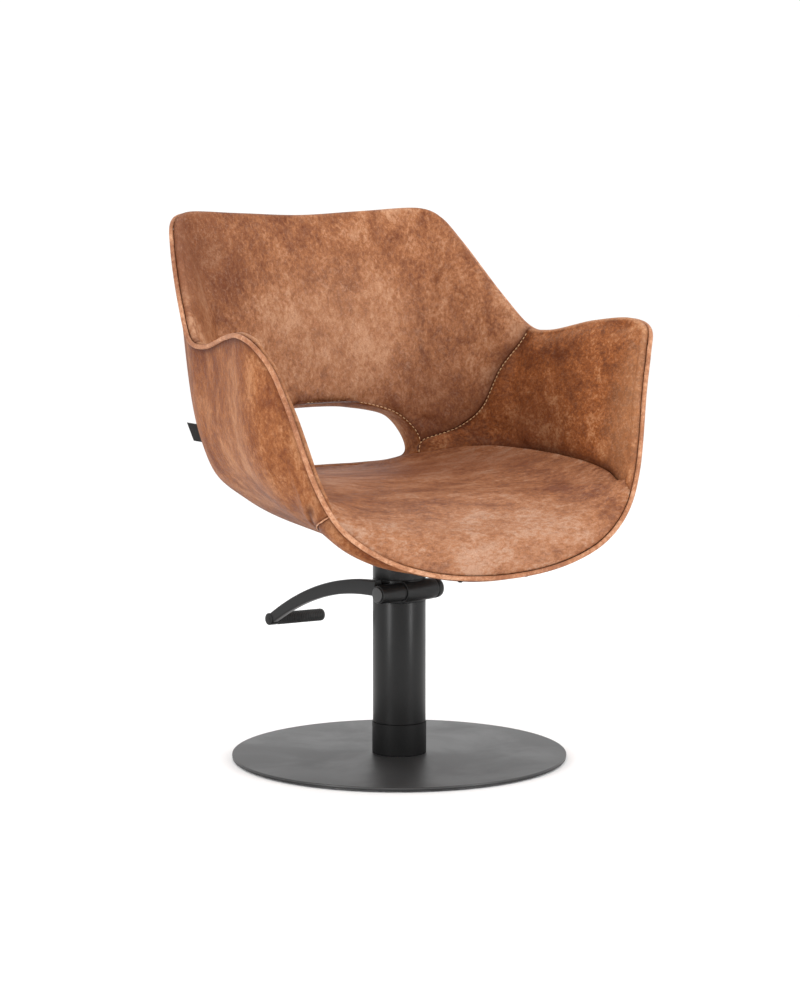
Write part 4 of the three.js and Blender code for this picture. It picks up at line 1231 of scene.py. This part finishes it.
def outer_back():
    """Cover with the opening cut in it: rings from the opening's edge out to the seams, rim and underside."""
    K, Mr = len(LOOP), 26
    c = LOOP_OUT.mean(0)
    ang = np.arctan2((LOOP_OUT[:, 1] - c[1]) * 2.2, LOOP_OUT[:, 0] - c[0])
    lo, hi = 0.0, 0.996
    corner = [(BACK_SEAM, hi), (np.pi - BACK_SEAM, hi), (np.pi - BACK_SEAM, lo), (BACK_SEAM, lo)]
    ca = [np.arctan2((p[1] - c[1]) * 2.2, p[0] - c[0]) for p in corner]
    pick = [int(np.argmin(np.abs((ang - a + np.pi) % (2 * np.pi) - np.pi))) for a in ca]
    outer = np.zeros((K, 2))
    order = sorted(range(4), key=lambda k: pick[k])
    for q in range(4):
        k0, k1 = order[q], order[(q + 1) % 4]
        i0, i1 = pick[k0], pick[k1]
        cnt = (i1 - i0) % K
        for s in range(cnt):
            w = s / cnt
            outer[(i0 + s) % K] = (1 - w) * np.array(corner[k0]) + w * np.array(corner[k1])
    s = np.r_[0, 0.012, 0.03, np.linspace(0.06, 0.965, Mr), 0.985, 0.995, 1]
    inner = smooth_loop(LOOP_OUT, 3)
    C = inner[:, None] * (1 - s)[None, :, None] + outer[:, None] * s[None, :, None]
    G, B = outside(C[..., 0], C[..., 1]), outside(C[..., 0], C[..., 1], COVER_T)
    N = np.cross(np.roll(G, -1, 0) - np.roll(G, 1, 0), np.gradient(G, axis=1))
    N /= np.maximum(np.linalg.norm(N, axis=-1, keepdims=True), 1e-9)
    if np.mean(np.sum(N * (G - B), -1)) < 0:
        N = -N
    d0 = travel(G, 1)
    # how far the cover rolls in at the opening and at the seams, and over what width, millimetres
    at_opening, at_seam, width = 2.2, 1.8, 6.0
    off = at_opening * (1 - np.sqrt(np.clip(1 - np.clip(1 - d0 / width, 0, 1) ** 2, 0, 1)))
    d1 = d0[:, -1:] - d0
    left, right = outer[:, 0] - BACK_SEAM, outer[:, 0] - np.pi + BACK_SEAM
    on_seam = ((np.abs(left) < 1e-6) | (np.abs(right) < 1e-6))[:, None]
    roll = 1 - np.sqrt(np.clip(1 - np.clip(1 - d1 / width, 0, 1) ** 2, 0, 1))
    off = np.maximum(off, on_seam * at_seam * roll)
    at_rim = (outer[:, 1] > hi - 1e-6)[:, None]
    near = np.minimum(d0, np.where(on_seam, d1, 99))
    near = np.minimum(near, np.where(at_rim, np.maximum(0, d1 - 6.0) * 2.2, 99))
    # painted shade beside the opening, the side seams and under the rim piping
    return ring_grid("outer_back_leather", G - N * off[..., None], B, np.exp(-near / SEAM_SHADE_FADE))


put(subdivide(outer_back()), "seat", ["outer_back"], M_OUTER)


def front_welt():
    """Thin welt sewn in the seam between the side covers and the front strip."""
    t = np.linspace(0.42, 0.955, 60)
    C = outside(front_seam(t), t, -0.2)
    r = 1.3 * np.minimum(1, 0.35 + 12 * np.minimum(t - t[0], t[-1] - t))
    return outward(new_object("front_welts_leather", *join(tube_mesh(P, r, 8) for P in (C, flip(C)))))


put(front_welt(), "seat", (), M_PIPING)


def screw_heads(name, nodes):
    """Domed heads, hollowed in the middle, lying on the cover nearest to each CAD screw."""
    parts = []
    grids = [(SIDE_F, SIDE_N), (SIDE2_F, SIDE2_N), (FRONT_F, FRONT_N)]
    for node in nodes:
        lo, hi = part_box(node)
        c = (np.array(lo) + np.array(hi)) / 2 / MM
        F, N = min(grids, key=lambda g: np.linalg.norm(g[0] - c, axis=-1).min())
        i, j = np.unravel_index(np.argmin(np.linalg.norm(F - c, axis=-1)), F.shape[:2])
        M = Vector(N[i, j]).to_track_quat("Z", "Y").to_matrix()
        prof = [(0, 1.1), (1.0, 1.1), (1.3, 1.9), (2.6, 1.6), (3.7, 0.9), (4.3, 0.0), (4.3, -1.5),
                (0, -1.5)]
        v, f = lathe(rounded(prof, 0.3, 2), 32)
        parts.append(([M @ Vector(p) + Vector(F[i, j]) for p in v], f))
    return outward(new_object(name, *join(parts)))


SCREWS = ["lip_screw_1", "lip_screw_2", "cover_screw_1", "cover_screw_2"]
put(sharpen(screw_heads("cover_screws_black", SCREWS), 40), "seat", SCREWS, M_BLACK)


# ---------------------------------------------------------------- piping
PIPING_R, PIPING_SIDES = 3.8, 12        # radius in millimetres, sides of its section


def rim_piping():
    th, _ = rim_stations(-np.pi, np.pi, np.linspace(0, 1, 421)[:-1])
    P, _, N, U = rim_frame(th)
    C = smooth_loop(P + 0.6 * N - 1.4 * U, 2)
    around = np.linspace(0, 2 * np.pi, PIPING_SIDES, endpoint=False)
    V = np.stack([C + PIPING_R * (np.cos(a) * N + np.sin(a) * U) for a in around], 1)
    return outward(new_object("rim_piping_leather", V.reshape(-1, 3),
                              tube_faces(len(th), PIPING_SIDES, True)))


put(rim_piping(), "seat", ["rim_piping"], M_PIPING)


# ---------------------------------------------------------------- stitching
WALL_COLUMNS = back_obj["grid"][1] - len(ROLL)


def grid_line(F, N, dist, side, skip=2):
    """A run on grid F at a distance from one border."""
    if side[0] == "i":
        F, N = F[:, :WALL_COLUMNS + 2].transpose(1, 0, 2), N[:, :WALL_COLUMNS + 2].transpose(1, 0, 2)
    if side[1] == "1":
        F, N = F[:, ::-1], N[:, ::-1]
    d = travel(F, 1)
    P = np.stack([[np.interp(dist, d[k], F[k, :, a]) for a in range(3)] for k in range(len(F))])
    Q = np.stack([[np.interp(dist, d[k], N[k, :, a]) for a in range(3)] for k in range(len(F))])
    return P[skip:-skip], Q[skip:-skip]


def settled(o, N):
    """Front grid of a slab as it is after the cloth has settled, with its normals."""
    co = np.empty(len(o.data.vertices) * 3)
    o.data.vertices.foreach_get("co", co)
    n, m = o["grid"]
    F = co.reshape(-1, 3)[:n * m].reshape(n, m, 3) / MM
    M = normals(F)
    return F, (M if np.sum(M * N) > 0 else -M)


seam_rows = [grid_line(*settled(arm, Nn), 4.8, "i1") for arm, Nn in arms]
edge_rows = [grid_line(*settled(back_obj, BACK_N), 4.6, "j0")]
put(stitches("seam_stitches", seam_rows), "seat", (), M_THREAD)
put(stitches("opening_stitches", edge_rows), "seat", (), M_THREAD)


# ---------------------------------------------------------------- column, base and pump
def turned(name, profile, nodes, body, material, segs=96, radius=0.8, matrix=None,
           wrap=True):
    v, f = lathe(rounded(profile, radius, 3, closed=wrap), segs, wrap=wrap)
    o = new_object(name, v, f)
    outward(o)
    sharpen(o, 40)
    if matrix is not None:
        o.data.transform(matrix)
        o.data.update()
    return put(o, body, nodes, material)


# profiles: radius, then height or place along the shaft, millimetres
turned("base_plate_steel", [(0, 1.8), (274.6, 1.8), (274.6, 3.4), (273.4, 3.7), (273.4, 4.1), (275, 4.4),
                            (275, 8), (0, 8)], ["base_plate"], "base", M_PLATE, segs=180, radius=1.3,
                            wrap=False)
turned("lower_sleeve_steel", [(42.6, 8.3), (44.5, 8.3), (44.5, 60), (42.6, 60)], ["lower_sleeve"], "base",
       M_DULL, radius=0.6)
turned("guide_tube_steel", [(35, 16.3), (38, 16.3), (38, 236), (35, 236)], ["guide_tube"], "base", M_BLACK)
turned("shroud_steel", [(41.5, 60.8), (43.5, 60.8), (43.5, 262), (41.5, 262)], ["shroud"], "lift", M_BLACK,
       radius=0.5, segs=128)
turned("pump_head_steel", [(15.3, 262.3), (43.5, 262.3), (43.5, 298.8), (15.3, 298.8)], ["pump_head"],
       "lift", M_BLACK, radius=0.5, segs=128)
turned("swivel_collar_steel", [(15.25, 299.2), (43.5, 299.2), (43.5, 346), (15.25, 346)], ["swivel_collar"],
       "seat", M_BLACK, radius=0.6, segs=128)
turned("seat_plate_steel", [(0, 346.3), (66, 346.3), (66, 354.9), (0, 354.9)], ["seat_mount_plate"], "seat",
       M_BLACK, radius=1.2, wrap=False)

# the pump shaft, as the CAD has it
LEVER_YAW, LEVER_FRONT, LEVER_Z = math.radians(10), 36 * MM, 281 * MM
TURN = Matrix.Rotation(LEVER_YAW, 4, "Z")
TURN = Matrix.Translation((LEVER_FRONT * math.sin(LEVER_YAW), -LEVER_FRONT * math.cos(LEVER_YAW),
                           LEVER_Z)) @ TURN
LYING = Matrix.Rotation(math.radians(90), 4, "Y")
turned("lever_housing_steel", [(0, -25), (17.5, -25), (17.5, 28), (17.0, 40), (16.0, 40.6), (16.0, 43.0),
                               (16.8, 43.6), (16.2, 50), (14.6, 53.6), (12.5, 54.6), (0, 54.6)],
       ["lever_housing"], "lift", M_BLACK, radius=1.4, matrix=TURN @ LYING, wrap=False)
turned("lever_hub_steel", [(0, -75), (15, -75), (15, -25.4), (0, -25.4)], ["lever_hub"], "lever", M_BLACK,
       radius=1.6, matrix=TURN @ LYING, wrap=False)
turned("hub_cap_steel", [(0, -77.6), (12.2, -77.6), (12.2, -75.3), (0, -75.3)], ["hub_cap"], "lever",
       M_PLASTIC, radius=1.0, matrix=TURN @ LYING, wrap=False)
BOSS = Matrix.Translation((0, 292 * MM, -79 * MM)) @ Matrix.Rotation(math.radians(2.0), 4, "Y")
turned("arm_boss_steel", [(0, -73.5), (10.3, -73.5), (10.3, -56.4), (0, -56.4)], ["arm_boss"], "lever",
       M_BLACK, radius=1.6, segs=64, matrix=TURN @ BOSS @ LYING, wrap=False)
ribs = [(5.2, -55.8), (9.4, -55.8), (10.5, -54.4), (10.5, -51)]
# ribs along the grip, from one end of it to the other, millimetres
x, RIBS_END, RIB_PITCH = -49.8, 36.5, 3.8
while x < RIBS_END:
    ribs += [(10.5, x), (9.7, x + 0.5), (9.7, x + 1.4), (10.5, x + 1.9), (10.5, x + 3.3)]
    x += RIB_PITCH
ribs += [(10.5, 38.2), (9.9, 41.0), (7.6, 42.6), (4.0, 42.9), (0, 42.9)]
turned("pedal_grip_rubber", [(0, -55.8)] + ribs, ["pedal_grip"], "lever", M_GRIP, segs=64,
       radius=0.35, matrix=TURN @ BOSS @ LYING, wrap=False)


def lever_arm():
    # the bar's two sides along the shaft, stations along the bar and corner radius, millimetres
    s0, s1, steps, c = -72.0, -58.0, 44, 3.2
    V = []
    for k in range(steps + 1):
        t = k / steps
        y, z, h = 12 + 282 * t, 8 - 86 * t ** 2.1, 13 - 4.5 * t
        dy, dz = 282.0, -85 * 2.1 * max(t, 1e-6) ** 1.1
        l = math.hypot(dy, dz)
        ny, nz = -dz / l, dy / l
        for cx, cz, a0 in ((s1 - c, h - c, 0), (s0 + c, h - c, 90), (s0 + c, -h + c, 180),
                           (s1 - c, -h + c, 270)):
            for a in (0, 30, 60, 90):
                q = math.radians(a0 + a)
                w = cz + c * math.sin(q)
                V.append((cx + c * math.cos(q), y + ny * w, z + nz * w))
    o = outward(new_object("lever_arm_steel", V, tube_faces(steps + 1, len(V) // (steps + 1))))
    o.data.transform(TURN)
    return sharpen(o, 50)


put(lever_arm(), "lever", ["lever_arm"], M_BLACK)


# ---------------------------------------------------------------- floor and light
def floor():
    m = Nodes("studio_floor")
    m.done(srgb(250, 250, 250), 0.7, m.bump(m.noise(60, 3), 0.02, 0.001), Specular_IOR_Level=0.15)
    o = new_object("studio_floor", [(-9000, -9000, 0), (9000, -9000, 0), (9000, 9000, 0), (-9000, 9000, 0)],
                   [(0, 1, 2, 3)], False)
    o.location.z = -0.0004
    o.data.materials.append(m.mat)


floor()
world = bpy.data.worlds.new("studio")
scene.world = world
world.use_nodes = True
bg = world.node_tree.nodes["Background"]
bg.inputs["Color"].default_value = (1, 1, 1, 1)
bg.inputs["Strength"].default_value = 1.06


def light(name, at, aim, size, power):
    d = bpy.data.lights.new(name, "AREA")
    d.shape, d.size, d.size_y, d.energy = "RECTANGLE", size[0], size[1], power
    o = bpy.data.objects.new(name, d)
    scene.collection.objects.link(o)
    o.location = at
    o.rotation_euler = (Vector(aim) - Vector(at)).to_track_quat("-Z", "Y").to_euler()


# place and aim in metres, size in metres, power in watts
light("key", (-3.2, -2.6, 2.6), (0, 0, 0.5), (1.6, 2.2), 28)
light("fill", (2.8, -2.4, 1.8), (0, 0, 0.5), (1.4, 2.4), 20)
light("top", (0.3, 0.4, 3.4), (0, 0, 0.6), (2.2, 2.2), 40)
light("strip_left", (-3.3, -1.0, 0.7), (0, 0, 0.35), (0.24, 1.7), 55)
light("strip_right", (1.2, -3.1, 0.7), (0, 0, 0.35), (0.24, 1.7), 45)
